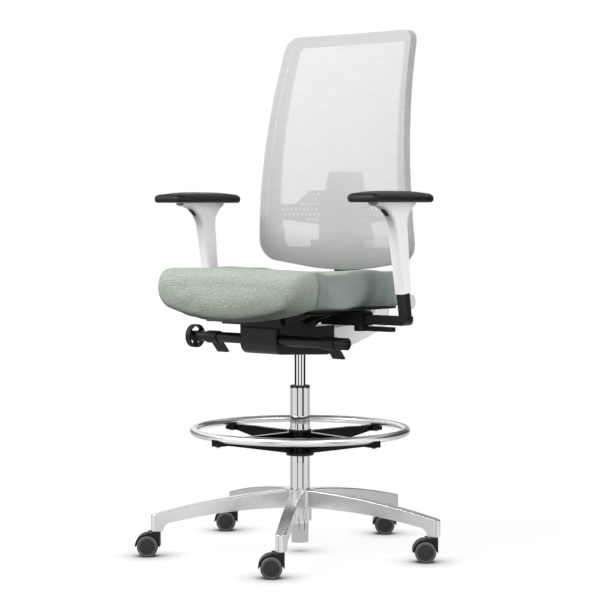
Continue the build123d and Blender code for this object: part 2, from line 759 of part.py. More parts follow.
def lock_knob():
    start = LEFT_LEVER_END + REST_GAP
    end = start + KNOB_LENGTH
    cap = along_x(KNOB_RADIUS, start, end, LEVER_Y, LEVER_Z)
    cap = cap - along_x(KNOB_DISH_RADIUS, end - KNOB_DISH_DEPTH, end, LEVER_Y, LEVER_Z)
    return cap + knob_spigot(LEFT_LEVER_END)


def tension_wheel():
    """An open hand ring on three spokes, made on +X and turned to the right side."""
    start = RIGHT_LEVER_END + REST_GAP
    end = start + WHEEL_HUB_LENGTH
    ring_start = end - WHEEL_RING_WIDTH
    inner = WHEEL_RING_RADIUS - WHEEL_RING_WALL
    ring = along_x(WHEEL_RING_RADIUS, ring_start, end, LEVER_Y, LEVER_Z)
    ring = ring - along_x(inner, ring_start, end, LEVER_Y, LEVER_Z)
    hub = along_x(LEVER_RADIUS, start, end, LEVER_Y, LEVER_Z)
    half = WHEEL_SPOKE_WIDTH / 2
    middle = (ring_start + end) / 2
    body = ring + hub + knob_spigot(RIGHT_LEVER_END)
    for index in range(WHEEL_SPOKE_COUNT):
        spoke = span((middle - half, middle + half), (-half, half), (-inner - WHEEL_RING_WALL / 2, 0))
        turn = Rot(index * 360.0 / WHEEL_SPOKE_COUNT, 0, 0)
        body = body + Pos(0, LEVER_Y, LEVER_Z) * turn * spoke
    return other_side(body)


def paddle(middle):
    """A collar on the lever tube with a blade that reaches back and down."""
    low = middle - PADDLE_LENGTH / 2
    high = middle + PADDLE_LENGTH / 2
    outer = LEVER_RADIUS + RUN_FIT + PADDLE_COLLAR_WALL
    length = math.hypot(PADDLE_REACH, PADDLE_DROP)
    angle = math.degrees(math.atan2(PADDLE_DROP, PADDLE_REACH))
    blade = span((low, high), (0, length), (-PADDLE_THICKNESS / 2, PADDLE_THICKNESS / 2))
    blade = Pos(0, LEVER_Y, LEVER_Z) * Rot(-angle, 0, 0) * blade
    body = along_x(outer, low, high, LEVER_Y, LEVER_Z) + blade
    return body - along_x(LEVER_RADIUS + RUN_FIT, low, high, LEVER_Y, LEVER_Z)


# Seat


def tilt_cheek():
    """A cheek beside the housing, from the seat plate down to the tilt pin and clear of the lever tube."""
    low = HOUSING_HALF_WIDTH + SLIDE_GAP
    points = [
        (CARRIER_FRONT, PLATE_BOTTOM),
        (CARRIER_FRONT, LEVER_Z + LEVER_RADIUS + CHEEK_LEVER_GAP),
        (TILT_Y - TILT_LUG_RADIUS, TILT_Z - TILT_LUG_RADIUS),
        (TILT_Y + TILT_LUG_RADIUS, TILT_Z - TILT_LUG_RADIUS),
        (CHEEK_REAR, PLATE_BOTTOM),
    ]
    outline = rounded(points, [0, 0, TILT_LUG_ROUND, TILT_LUG_ROUND, 0])
    plate = Pos(low, 0, 0) * extrude(Plane.YZ * outline, amount=TILT_LUG_WIDTH)
    return plate - along_x(TILT_PIN_RADIUS + RUN_FIT, 0, low + TILT_LUG_WIDTH, TILT_Y, TILT_Z)


def carrier_rib(y):
    """A tapering rib under the seat plate, outboard of the housing."""
    start = HOUSING_HALF_WIDTH + SLIDE_GAP
    points = [
        (start, PLATE_BOTTOM),
        (start, PLATE_BOTTOM - RIB_DROP),
        (start + TILT_LUG_WIDTH, PLATE_BOTTOM - RIB_DROP),
        (RIB_OUTER, PLATE_BOTTOM),
    ]
    rib = make_face(Polyline(*points, close=True))
    return Pos(0, y, 0) * extrude(Plane.XZ * rib, amount=RIB_THICKNESS / 2, both=True)


def bar_guide():
    """The sleeve under the plate that an arm's bar slides in."""
    wall = BAR_HALF + SLIDE_GAP + GUIDE_WALL
    reach = (GUIDE_INNER_END, GUIDE_OUTER_END)
    body = span(reach, (BAR_Y - wall, BAR_Y + wall), (GUIDE_BOTTOM, PLATE_TOP))
    gap = BAR_HALF + SLIDE_GAP
    body = body - span(reach, (BAR_Y - gap, BAR_Y + gap), (BAR_BOTTOM - SLIDE_GAP, PLATE_BOTTOM))
    stud = upright(CLAMP_STUD_RADIUS + RUN_FIT, GUIDE_BOTTOM, BAR_BOTTOM, x=CLAMP_X, y=BAR_Y)
    return body - stud


def rail_lips():
    """Two strips on the plate that keep a seat rail in line."""
    inner = RAIL_X - RAIL_WIDTH / 2 - SLIDE_GAP
    outer = RAIL_X + RAIL_WIDTH / 2 + SLIDE_GAP
    length = (RAIL_FRONT, RAIL_REAR)
    height = (PLATE_TOP, PLATE_TOP + RAIL_HEIGHT - RAIL_LIP_GAP)
    return span((inner - RAIL_LIP, inner), length, height) + span((outer, outer + RAIL_LIP), length, height)


def seat_carrier():
    half = CARRIER_PLATE_HALF
    body = span((-half, half), (CARRIER_FRONT, CARRIER_REAR), (PLATE_BOTTOM, PLATE_TOP))
    reach = HOUSING_HALF_WIDTH + SLIDE_GAP + TILT_LUG_WIDTH
    apron = (CARRIER_FRONT, CARRIER_FRONT + RIB_THICKNESS)
    body = body + span((-reach, reach), apron, (HOUSING_TOP + SLIDE_GAP, PLATE_BOTTOM))
    side = tilt_cheek() + bar_guide() + rail_lips()
    rib_rear = BAR_Y - BAR_HALF - SLIDE_GAP - GUIDE_WALL - 2 * RIB_THICKNESS
    for y in (CARRIER_FRONT + 2 * RIB_THICKNESS, TILT_Y + 2 * TILT_LUG_RADIUS, rib_rear):
        side = side + carrier_rib(y)
    return body + side + other_side(side)


def seat_rails():
    reach = (RAIL_X - RAIL_WIDTH / 2, RAIL_X + RAIL_WIDTH / 2)
    rail = span(reach, (RAIL_FRONT, RAIL_REAR), (RAIL_BOTTOM, PAN_BOTTOM))
    return Compound([rail, other_side(rail)])


def depth_pin_height():
    return PAN_BOTTOM - 2 * DEPTH_BARREL_RADIUS


def seat_pan():
    half = PAN_HALF
    points = [(-half, PAN_FRONT), (half, PAN_FRONT), (half, PAN_REAR), (-half, PAN_REAR)]
    body = Pos(0, 0, PAN_BOTTOM) * extrude(rounded(points, [PAN_CORNER] * 4), amount=PAN_THICKNESS)
    ear_reach = DEPTH_LEVER_LENGTH / 2
    ear_side = (DEPTH_LEVER_X - DEPTH_BARREL_RADIUS, DEPTH_LEVER_X + DEPTH_BARREL_RADIUS)
    ear_low = depth_pin_height() - DEPTH_BARREL_RADIUS
    for side in (-1, 1):
        inner = DEPTH_LEVER_Y + side * (ear_reach + REST_GAP)
        ends = sorted((inner, inner + side * DEPTH_EAR))
        body = body + span(ear_side, ends, (ear_low, PAN_BOTTOM))
    pin_reach = ear_reach + REST_GAP
    low = DEPTH_LEVER_Y - pin_reach
    return body + along_y(DEPTH_PIN_RADIUS, low, low + 2 * pin_reach, DEPTH_LEVER_X, depth_pin_height())


def depth_lever():
    """A blade on a barrel, which is pulled up to free the seat's slide."""
    low = DEPTH_LEVER_Y - DEPTH_LEVER_LENGTH / 2
    high = DEPTH_LEVER_Y + DEPTH_LEVER_LENGTH / 2
    height = depth_pin_height()
    barrel = along_y(DEPTH_BARREL_RADIUS, low, high, DEPTH_LEVER_X, height)
    blade_top = DEPTH_LEVER_BOTTOM + DEPTH_LEVER_THICKNESS
    neck_half = DEPTH_BARREL_RADIUS / 2
    neck = span((DEPTH_LEVER_X - neck_half, DEPTH_LEVER_X + neck_half), (low, high), (DEPTH_LEVER_BOTTOM, height))
    blade_side = (DEPTH_LEVER_X - DEPTH_LEVER_WIDTH, DEPTH_LEVER_X + neck_half)
    blade = span(blade_side, (low, high), (DEPTH_LEVER_BOTTOM, blade_top))
    return barrel + neck + blade - along_y(DEPTH_PIN_RADIUS + RUN_FIT, low, high, DEPTH_LEVER_X, height)


def cushion_section(y, half, bottom, bottom_sag, top, dish, tuck=0.0):
    """A cross-section of the cushion: sagging underside, drawn-in sides and a dished top."""
    middle = (bottom + top) / 2
    inset = SEAT_SIDE_BULGE
    foot = half - inset - tuck
    outline = [
        ThreePointArc((-foot, bottom), (0, bottom - bottom_sag), (foot, bottom)),
        ThreePointArc((foot, bottom), (half, middle), (half - 2 * inset, top)),
        ThreePointArc((half - 2 * inset, top), (0, top - dish), (-half + 2 * inset, top)),
        ThreePointArc((-half + 2 * inset, top), (-half, middle), (-foot, bottom)),
    ]
    return Plane(origin=(0, y, 0), x_dir=(1, 0, 0), z_dir=(0, -1, 0)) * make_face(outline)


def seat_cushion():
    """Waterfall front, dished top and a flat underside where it lies on the pan."""
    apron = SEAT_APRON_BOTTOM + SEAT_APRON_RISE
    low = CUSHION_BOTTOM - SEAT_UNDERCUT
    flat = REST_GAP
    nose = (apron + SEAT_NOSE_LIFT, SEAT_APRON_RISE, SEAT_TOP - SEAT_NOSE_DROP, -SEAT_NOSE_CROWN, SEAT_CORNER_TUCK)
    lip = (apron + SEAT_LIP_LIFT, SEAT_APRON_RISE, SEAT_TOP - SEAT_LIP_DROP, -SEAT_NOSE_CROWN, SEAT_CORNER_TUCK)
    brow = (apron, SEAT_APRON_RISE - SEAT_APRON_FLAT, SEAT_TOP, -SEAT_BROW_CROWN, SEAT_CORNER_TUCK)
    thigh = (low, SEAT_THIGH_SAG, SEAT_TOP, -SEAT_THIGH_CROWN)
    end = (CUSHION_BOTTOM + SEAT_END_LIFT, -flat, SEAT_TOP - SEAT_END_DROP, SEAT_DISH)
    sections = [
        cushion_section(SEAT_FRONT, SEAT_HALF - SEAT_NOSE_INSET, *nose),
        cushion_section(SEAT_FRONT + SEAT_LIP_BACK, SEAT_HALF - SEAT_LIP_INSET, *lip),
        cushion_section(SEAT_FRONT + SEAT_BROW_BACK, SEAT_HALF - SEAT_BROW_INSET, *brow),
        cushion_section(SEAT_FRONT + SEAT_THIGH_BACK, SEAT_HALF - SEAT_THIGH_INSET, *thigh),
        cushion_section(SEAT_FRONT + SEAT_MIDDLE_BACK, SEAT_HALF, low, flat, SEAT_TOP, SEAT_DISH / 2),
        cushion_section(SEAT_REAR - SEAT_HIP_AHEAD, SEAT_HALF, low, flat, SEAT_TOP - SEAT_HIP_DROP, SEAT_DISH),
        cushion_section(
            SEAT_REAR - SEAT_TAIL_AHEAD, SEAT_HALF - SEAT_TAIL_INSET, low, flat, SEAT_TOP - SEAT_TAIL_DROP, SEAT_DISH
        ),
        cushion_section(SEAT_REAR, SEAT_HALF - SEAT_END_INSET, *end),
    ]
    body = loft(sections)
    under = span((-BIG, BIG), (PAN_FRONT - REST_GAP, BIG), (0, CUSHION_BOTTOM))
    return body - under


# Arms, made on the sitter's left


def post_frame():
    """The leaning frame of an arm's post, with its foot in the elbow and Z along the post."""
    return Pos(ARM_X, *POST_FOOT) * Rot(POST_LEAN, 0, 0)


def post_point(along, across):
    """A YZ point at a distance along the post and across it towards the rear."""
    place = post_frame() * Pos(0, across, along)
    return (place.position.Y, place.position.Z)


def arm_bracket():
    """The L-shaped bracket: a bar under the seat and the post inside the sleeve."""
    outer = ARM_X + POST_WIDTH / 2
    bar = span((BAR_INNER_END, outer), (BAR_Y - BAR_HALF, BAR_Y + BAR_HALF), (BAR_BOTTOM, BAR_TOP))
    corner = bar.edges().filter_by(Axis.Y).group_by(Axis.X)[-1].sort_by(Axis.Z)[0]
    bar = fillet(corner, ELBOW_ROUND)
    post = extrude(RectangleRounded(POST_WIDTH, POST_DEPTH, POST_ROUND), amount=POST_LENGTH)
    return bar + post_frame() * post


def sleeve_flare():
    """The foot, corner and lip of the sleeve's flaring front edge."""
    foot = post_point(SLEEVE_START, -POST_DEPTH / 2 - SLEEVE_SIDE)
    corner = post_point(SLEEVE_WAIST, -POST_DEPTH / 2 - SLEEVE_WAIST_PROUD)
    return foot, corner, (SLEEVE_TOP_FRONT, SLEEVE_TOP - SLEEVE_LIP)


def button_plane():
    """On the arc of the front flare, with Z out of the sleeve and X up the flare."""
    foot, corner, lip = (Vector(0, *point) for point in sleeve_flare())
    down = (foot - corner).normalized()
    ahead = (lip - corner).normalized()
    middle = (down + ahead).normalized()
    half_angle = math.radians(down.get_angle(ahead)) / 2
    centre = corner + middle * (SLEEVE_FLARE_ROUND / math.sin(half_angle))
    out = middle.rotate(Axis.X, BUTTON_TURN)
    place = centre - out * SLEEVE_FLARE_ROUND
    return Plane(origin=(ARM_X, place.Y, place.Z), x_dir=(0, out.Z, -out.Y), z_dir=out)


def arm_sleeve():
    """The white sleeve that rides up and down the post and flares under the pad."""
    side = POST_DEPTH / 2 + SLEEVE_SIDE
    blank_top = SLEEVE_TOP + SLEEVE_ROUND
    points = [
        *sleeve_flare(),
        (SLEEVE_TOP_FRONT, blank_top),
        (SLEEVE_TOP_REAR, blank_top),
        (SLEEVE_TOP_REAR, SLEEVE_TOP - SLEEVE_LIP),
        post_point(SLEEVE_REAR_BEND, side + SLEEVE_REAR_PROUD),
        post_point(SLEEVE_START, side),
    ]
    outline = rounded(points, [0, SLEEVE_FLARE_ROUND, 0, 0, 0, 0, SLEEVE_REAR_ROUND, 0])
    body = Pos(ARM_X, 0, 0) * side_slab(outline, SLEEVE_WIDTH / 2)
    long_edges = [edge for face in body.faces().filter_by(Axis.X) for edge in face.edges()]
    low_limit = max(post_point(SLEEVE_START, side)[1], post_point(SLEEVE_START, -side)[1])
    long_edges = [edge for edge in long_edges if low_limit < edge.center().Z < SLEEVE_TOP - SLEEVE_LIP]
    body = fillet(long_edges, SLEEVE_ROUND)
    body = body - span((-BIG, BIG), (-BIG, BIG), (SLEEVE_TOP, BIG))
    hollow = RectangleRounded(POST_WIDTH + 2 * SLIDE_GAP, POST_DEPTH + 2 * SLIDE_GAP, POST_ROUND + SLIDE_GAP)
    hollow = extrude(hollow, amount=POST_LENGTH + SLEEVE_TRAVEL + SLEEVE_SIDE)
    body = body - post_frame() * hollow
    pivot_floor = SLEEVE_TOP - PIVOT_DEPTH - REST_GAP
    body = body - upright(PIVOT_RADIUS + RUN_FIT, pivot_floor, SLEEVE_TOP, x=ARM_X, y=PIVOT_Y)
    pocket = SlotOverall(BUTTON_LENGTH + 2 * REST_GAP, BUTTON_WIDTH + 2 * REST_GAP)
    pocket_depth = BUTTON_HEIGHT - BUTTON_PROUD + BUTTON_TRAVEL + REST_GAP
    return body - button_plane() * extrude(pocket, amount=pocket_depth, both=True)


def arm_button():
    button = extrude(SlotOverall(BUTTON_LENGTH, BUTTON_WIDTH), amount=BUTTON_HEIGHT)
    return button_plane() * Pos(0, 0, BUTTON_PROUD - BUTTON_HEIGHT) * button


def arm_pad_plate():
    plate = extrude(RectangleRounded(PLATE_WIDTH, PLATE_LENGTH, PLATE_ROUND), amount=PLATE_THICKNESS)
    hub = upright(PIVOT_RADIUS, SLEEVE_TOP - PIVOT_DEPTH, PAD_PLATE_BOTTOM, x=ARM_X, y=PIVOT_Y)
    return Pos(ARM_X, PAD_Y, PAD_PLATE_BOTTOM) * plate + hub


def arm_pad():
    """The arm pad, with a pocket below that slides along its plate."""
    pad = extrude(RectangleRounded(PAD_WIDTH, PAD_LENGTH, PAD_ROUND), amount=PAD_TOP - PAD_BOTTOM)
    pad = fillet(pad.faces().sort_by(Axis.Z)[-1].edges(), PAD_EDGE)
    pad = Pos(ARM_X, PAD_Y, PAD_BOTTOM) * pad
    half = PLATE_WIDTH / 2 + SLIDE_GAP
    reach = PLATE_LENGTH / 2 + PAD_TRAVEL + SLIDE_GAP
    pocket = ((ARM_X - half, ARM_X + half), (PAD_Y - reach, PAD_Y + reach), (PAD_BOTTOM, PAD_PLATE_TOP + REST_GAP))
    return pad - span(*pocket)


def arm_clamp():
    """The lever under the bar guide that clamps the arm's width."""
    top = GUIDE_BOTTOM - RUN_FIT
    boss = upright(CLAMP_BOSS_RADIUS, top - CLAMP_THICKNESS, top, x=CLAMP_X, y=BAR_Y)
    stud = upright(CLAMP_STUD_RADIUS, top, BAR_BOTTOM - SLIDE_GAP, x=CLAMP_X, y=BAR_Y)
    half = CLAMP_WIDTH / 2
    blade_z = (top - CLAMP_THICKNESS + CLAMP_BLADE_INSET, top - CLAMP_BLADE_INSET)
    blade = span((CLAMP_X, CLAMP_X + CLAMP_LENGTH), (BAR_Y - half, BAR_Y + half), blade_z)
    end = blade.edges().filter_by(Axis.Z).group_by(Axis.X)[-1]
    return boss + stud + fillet(end, CLAMP_END_ROUND)


# Back


def back_outline(grow=0.0):
    """The back's outline seen from the front."""
    left = [
        (-BACK_TOP_HALF, BACK_TOP),
        (-BACK_WAIST_HALF, BACK_WAIST),
        (-BACK_LOW_HALF, BACK_LOW),
    ]
    right = [(-x, z) for x, z in reversed(left)]
    corners = [BACK_TOP_ROUND, BACK_WAIST_ROUND, BACK_LOW_ROUND]
    radii = corners + [BACK_BOTTOM_ROUND] + corners[::-1]
    outline = rounded(left + [(0, BACK_BOTTOM)] + right, radii)
    return offset(outline, grow) if grow else outline


def back_slab(near, far):
    """A layer of the curved back, between two depths behind its front."""
    low = (BACK_ARC_LOW_Y, BACK_ARC_LOW_Z)
    middle = (BACK_ARC_MIDDLE_Y, BACK_ARC_MIDDLE_Z)
    high = (BACK_ARC_HIGH_Y, BACK_ARC_HIGH_Z)
    arcs = [[(y + depth, z) for y, z in (low, middle, high)] for depth in (near, far)]
    face = make_face(
        [
            ThreePointArc(*arcs[0]),
            Line(arcs[0][2], arcs[1][2]),
            ThreePointArc(*arcs[1][::-1]),
            Line(arcs[1][0], arcs[0][0]),
        ]
    )
    half_turn = math.degrees(math.asin(BACK_WRAP_MARGIN * BACK_WAIST_HALF / BACK_WRAP_RADIUS))
    axis = Axis((0, BACK_ARC_MIDDLE_Y - BACK_WRAP_RADIUS, 0), (0, 0, 1))
    return revolve(Plane.YZ * face, axis=axis, revolution_arc=2 * half_turn).rotate(axis, -half_turn)


def carrier_notch():
    """The room behind the back's foot where the carrier and its rack come in."""
    half = CARRIER_HALF + RACK_GAP
    room = span((-half, half), (-BIG, BIG), (0, BRIDGE_BOTTOM))
    return back_slab(MESH_THICKNESS + FIXED_FIT + FLANGE_THICKNESS, 2 * FRAME_DEPTH) & room


def back_mesh():
    """The knitted cover: a front sheet and a skirt round the frame."""
    outer = front_slab(back_outline(FIXED_FIT + MESH_SKIRT))
    inner = front_slab(back_outline(FIXED_FIT))
    shell = back_slab(0, FRAME_DEPTH) & outer
    return shell - (back_slab(MESH_THICKNESS, FRAME_DEPTH + MESH_SKIRT) & inner) - carrier_notch()


def window_outline():
    left = [(-WINDOW_TOP_HALF, WINDOW_TOP), (-WINDOW_WAIST_HALF, WINDOW_WAIST), (-WINDOW_LOW_HALF, WINDOW_LOW)]
    right = [(-x, z) for x, z in reversed(left)]
    corners = [WINDOW_ROUND, WINDOW_WAIST_ROUND, WINDOW_ROUND]
    return rounded(left + right, corners + corners[::-1])


def spine_outline():
    left = [
        (-SPINE_TOP_HALF, SPINE_TOP),
        (-SPINE_NECK_HALF, SPINE_NECK),
        (-SPINE_HALF, SPINE_SHOULDER),
        (-SPINE_HALF, WINDOW_LOW),
    ]
    right = [(-x, z) for x, z in reversed(left)]
    corners = [SPINE_TOP_ROUND, SPINE_ROUND, SPINE_ROUND, 0]
    return rounded(left + right, corners + corners[::-1])


def back_frame():
    """A deep rim with a flange along its front and a wider one behind, a bottom panel and the spine."""
    near = MESH_THICKNESS + FIXED_FIT
    outline = back_outline()
    above = span((-BIG, BIG), (-BIG, BIG), (WINDOW_LOW, BIG))
    rim = front_slab(outline) - front_slab(offset(outline, -FRAME_RIM))
    flange = front_slab(outline) - (front_slab(offset(outline, -FLANGE_WIDTH)) & above)
    rear_flange = (front_slab(outline) - front_slab(window_outline())) & above
    body = (back_slab(near, FRAME_DEPTH) & rim) + (back_slab(near, near + FLANGE_THICKNESS) & flange)
    body = body + (back_slab(FRAME_DEPTH - FLANGE_THICKNESS, FRAME_DEPTH) & rear_flange)
    body = body - carrier_notch()
    spine_far = SPINE_SETBACK + SPINE_THICKNESS
    body = body + (back_slab(SPINE_SETBACK, spine_far) & front_slab(spine_outline()))
    rack_room = RACK_HALF + CHANNEL_WALL
    for side in (-1, 1):
        ends = sorted((side * rack_room, side * SPINE_HALF))
        bridge = span(ends, (-BIG, BIG), (BRIDGE_BOTTOM, SPINE_BRIDGE))
        body = body + (back_slab(near, spine_far) & bridge)
    half = TONGUE_HALF + SLIDE_GAP
    wall = half + CHANNEL_WALL
    front = TONGUE_FRONT - SLIDE_GAP
    rear = TONGUE_REAR + SLIDE_GAP
    height = (CHANNEL_BOTTOM, CHANNEL_TOP)
    spine_rear = BACK_ARC_MIDDLE_Y + spine_far - SPINE_THICKNESS / 2
    channel = span((-wall, wall), (spine_rear, rear + CHANNEL_WALL), height)
    return body + (channel - span((-half, half), (front, rear), height))


def lumbar_outline():
    left = [
        (-LUMBAR_CREST_HALF, LUMBAR_TOP),
        (-LUMBAR_STEP_HALF, LUMBAR_WING_TOP),
        (-LUMBAR_HALF, LUMBAR_WING_TOP),
        (-LUMBAR_HALF, LUMBAR_WING_BOTTOM),
    ]
    right = [(-x, z) for x, z in reversed(left)]
    corners = [LUMBAR_CREST_ROUND, LUMBAR_STEP_ROUND, LUMBAR_WING_TOP_ROUND, LUMBAR_WING_LOW_ROUND]
    return rounded(left + [(0, LUMBAR_BOTTOM)] + right, corners + [LUMBAR_SAG_ROUND] + corners[::-1])


def lumbar_wing_holes():
    """Staggered round holes through both wings, kept clear of the pad's edges."""
    rows = int((LUMBAR_TOP - LUMBAR_BOTTOM) / LUMBAR_HOLE_PITCH)
    columns = int((LUMBAR_HALF - LUMBAR_PLATE_HALF) / LUMBAR_HOLE_PITCH)
    slope = (LUMBAR_TOP - LUMBAR_WING_TOP) / (LUMBAR_STEP_HALF - LUMBAR_CREST_HALF)
    fall = (LUMBAR_WING_BOTTOM - LUMBAR_BOTTOM) / LUMBAR_HALF
    places = []
    for row in range(rows):
        z = LUMBAR_BOTTOM + (row + 0.5) * LUMBAR_HOLE_PITCH
        for column in range(columns):
            x = LUMBAR_PLATE_HALF + LUMBAR_MARGIN + (column + 0.5 * (row % 2)) * LUMBAR_HOLE_PITCH
            roof = LUMBAR_TOP - slope * max(0.0, x - LUMBAR_CREST_HALF + LUMBAR_MARGIN)
            roof = max(roof, LUMBAR_WING_TOP) - LUMBAR_MARGIN
            floor = LUMBAR_BOTTOM + fall * x + LUMBAR_MARGIN
            if floor < z < roof and x < LUMBAR_HALF - LUMBAR_MARGIN:
                places += [(x, z), (-x, z)]
    discs = Sketch() + [Pos(x, z) * Circle(LUMBAR_HOLE_RADIUS) for x, z in places]
    return front_slab(discs)


def lumbar_pad():
    """A thin perforated pad with a ribbed plate, and behind it a slider that runs on the spine."""
    near = MESH_THICKNESS + LUMBAR_FRONT_GAP
    far = SPINE_SETBACK - LUMBAR_REAR_GAP
    pad = front_slab(lumbar_outline())
    middle = span((-LUMBAR_PLATE_HALF, LUMBAR_PLATE_HALF), (-BIG, BIG), (0, BIG))
    body = back_slab(near, near + LUMBAR_THICKNESS) & pad
    body = body - lumbar_wing_holes()
    slider_z = (LUMBAR_SLIDER_LOW, LUMBAR_SLIDER_HIGH)
    slider = span((-LUMBAR_SLIDER_HALF, LUMBAR_SLIDER_HALF), (-BIG, BIG), slider_z)
    body = body + (back_slab(near, near + LUMBAR_PLATE_THICKNESS) & pad & middle)
    body = body + (back_slab(near, far) & slider)
    count = int((LUMBAR_TOP - LUMBAR_WING_BOTTOM) / RIB_PITCH) - 1
    groove_half = LUMBAR_PLATE_HALF - LUMBAR_MARGIN
    groove_layer = back_slab(near - RIB_DEPTH, near + RIB_DEPTH)
    for index in range(count):
        z = LUMBAR_WING_BOTTOM + (index + 1) * RIB_PITCH
        groove = span((-groove_half, groove_half), (-BIG, BIG), (z, z + RIB_GROOVE))
        body = body - (groove_layer & groove)
    return body


def carrier_side():
    """The back carrier seen from the side: a lug, a rising wedge, a bend and a tongue."""
    lug = RECLINE_PIN_RADIUS + CARRIER_LUG
    corners = [
        (RECLINE_Y - lug, RECLINE_Z + lug, CARRIER_LUG_ROUND),
        (RECLINE_Y - lug, RECLINE_Z - lug, CARRIER_LUG_ROUND),
        (RECLINE_Y + CARRIER_KEEL_BACK, RECLINE_Z - CARRIER_KEEL_DROP, CARRIER_KEEL_ROUND),
        (RECLINE_Y + CARRIER_HEEL_BACK, RECLINE_Z + CARRIER_HEEL_RISE, CARRIER_HEEL_ROUND),
        (RECLINE_Y + CARRIER_BEND_BACK, RECLINE_Z + CARRIER_BEND_RISE, CARRIER_BEND_ROUND),
        (TONGUE_REAR, RECLINE_Z + CARRIER_REAR_RISE, CARRIER_REAR_ROUND),
        (TONGUE_REAR, TONGUE_TOP, CARRIER_TIP_ROUND),
        (TONGUE_FRONT, TONGUE_TOP, CARRIER_TIP_ROUND),
        (TONGUE_FRONT, RECLINE_Z + CARRIER_FRONT_RISE, CARRIER_FRONT_ROUND),
        (RECLINE_Y + CARRIER_CROOK_BACK, RECLINE_Z + CARRIER_CROOK_RISE, CARRIER_CROOK_ROUND),
        (RECLINE_Y + CARRIER_THROAT_BACK, RECLINE_Z + CARRIER_THROAT_RISE, CARRIER_THROAT_ROUND),
        (RECLINE_Y + CARRIER_SHOULDER_BACK, RECLINE_Z + CARRIER_SHOULDER_RISE, CARRIER_SHOULDER_ROUND),
    ]
    return rounded([(y, z) for y, z, _ in corners], [radius for _, _, radius in corners])


def back_carrier():
    low = [
        (-TONGUE_HALF, TONGUE_TOP),
        (-TONGUE_HALF, CARRIER_NECK_END),
        (-CARRIER_HALF, CARRIER_NECK_START),
        (-CARRIER_HALF, 0),
    ]
    front = low + [(-x, z) for x, z in reversed(low)]
    radii = [CARRIER_TIP_ROUND, CARRIER_NECK_ROUND, CARRIER_NECK_ROUND, 0]
    body = side_slab(carrier_side(), CARRIER_HALF) & front_slab(rounded(front, radii + radii[::-1]))
    body = body - along_x(RECLINE_PIN_RADIUS + RUN_FIT, -CARRIER_HALF, CARRIER_HALF, RECLINE_Y, RECLINE_Z)
    seat = CARRIER_HALF - LOCK_SHAFT_SEAT
    return body - along_x(LOCK_SHAFT_RADIUS + RUN_FIT, seat, CARRIER_HALF, LOCK_KNOB_Y, LOCK_KNOB_Z)


def back_rack():
    """The black toothed strip on the front of the carrier's tongue."""
    depth = (BACK_ARC_LOW_Y + RACK_GAP + MESH_THICKNESS, TONGUE_FRONT)
    body = span((-RACK_HALF, RACK_HALF), depth, (RACK_BOTTOM, RACK_TOP))
    for index in range(int((RACK_TOP - RACK_BOTTOM) / RACK_TOOTH) - 1):
        z = RACK_BOTTOM + (index + 0.5) * RACK_TOOTH
        cut = (depth[0], depth[0] + RACK_TOOTH / 2)
        body = body - span((-RACK_HALF, RACK_HALF), cut, (z, z + RACK_TOOTH / 2))
    return body


def back_knob():
    """The knob on the carrier's left side that frees the back's height."""
    end = LOCK_KNOB_X + LOCK_KNOB_LENGTH
    shaft = along_x(LOCK_SHAFT_RADIUS, CARRIER_HALF - LOCK_SHAFT_SEAT + REST_GAP, end, LOCK_KNOB_Y, LOCK_KNOB_Z)
    grip = along_x(LOCK_KNOB_RADIUS, LOCK_KNOB_X, end, LOCK_KNOB_Y, LOCK_KNOB_Z)
    grip = fillet(grip.edges().filter_by(GeomType.CIRCLE), LOCK_KNOB_ROUND)
    return shaft + grip


# Nodes

for number, arm_heading in enumerate(arm_headings(), start=1):
    place = caster_place(arm_heading)
    save(f"caster_{number}_hood", place * caster_hood())
    save(f"caster_{number}_pins", place * caster_pins())
    save(f"caster_{number}_wheels", place * caster_wheels())

ARM_PIECES = {
    "bracket": arm_bracket(),
    "sleeve": arm_sleeve(),
    "button": arm_button(),
    "pad_plate": arm_pad_plate(),
    "pad": arm_pad(),
    "clamp": arm_clamp(),
}
for piece_name, piece in ARM_PIECES.items():
    save(f"arm_left_{piece_name}", piece)
    save(f"arm_right_{piece_name}", other_side(piece))

SINGLE_PIECES = {
    "star_base": star_base(),
    "column_tube": column_tube(),
    "column_bush": column_bush(),
    "thrust_bearing": thrust_bearing(),
    "piston_rod": piston_rod(),
    "rod_clip": rod_clip(),
    "gas_cylinder": gas_cylinder(),
    "foot_ring": foot_ring(),
    "foot_ring_hub": foot_ring_hub(),
    "foot_ring_sleeve": foot_ring_sleeve(),
    "foot_ring_screws": foot_ring_screws(),
    "mechanism_housing": mechanism_housing(),
    "recline_pin": recline_pin(),
    "tilt_pin": tilt_pin(),
    "recline_spring": recline_spring(),
    "lever_tube_left": lever_tube(LEFT_LEVER_END),
    "lever_tube_right": other_side(lever_tube(RIGHT_LEVER_END)),
    "lock_knob": lock_knob(),
    "tension_wheel": tension_wheel(),
    "lock_paddle": paddle(LEFT_PADDLE_X),
    "height_paddle": other_side(paddle(RIGHT_PADDLE_X)),
    "seat_carrier": seat_carrier(),
    "seat_rails": seat_rails(),
    "seat_pan": seat_pan(),
    "depth_lever": depth_lever(),
    "seat_cushion": seat_cushion(),
    "back_carrier": back_carrier(),
    "back_rack": back_rack(),
    "back_knob": back_knob(),
    "back_frame": back_frame(),
    "back_mesh": back_mesh(),
    "lumbar_pad": lumbar_pad(),
}
for piece_name, piece in SINGLE_PIECES.items():
    save(piece_name, piece)
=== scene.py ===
import json
import math

import bmesh
import bpy
from mathutils import Matrix, Vector


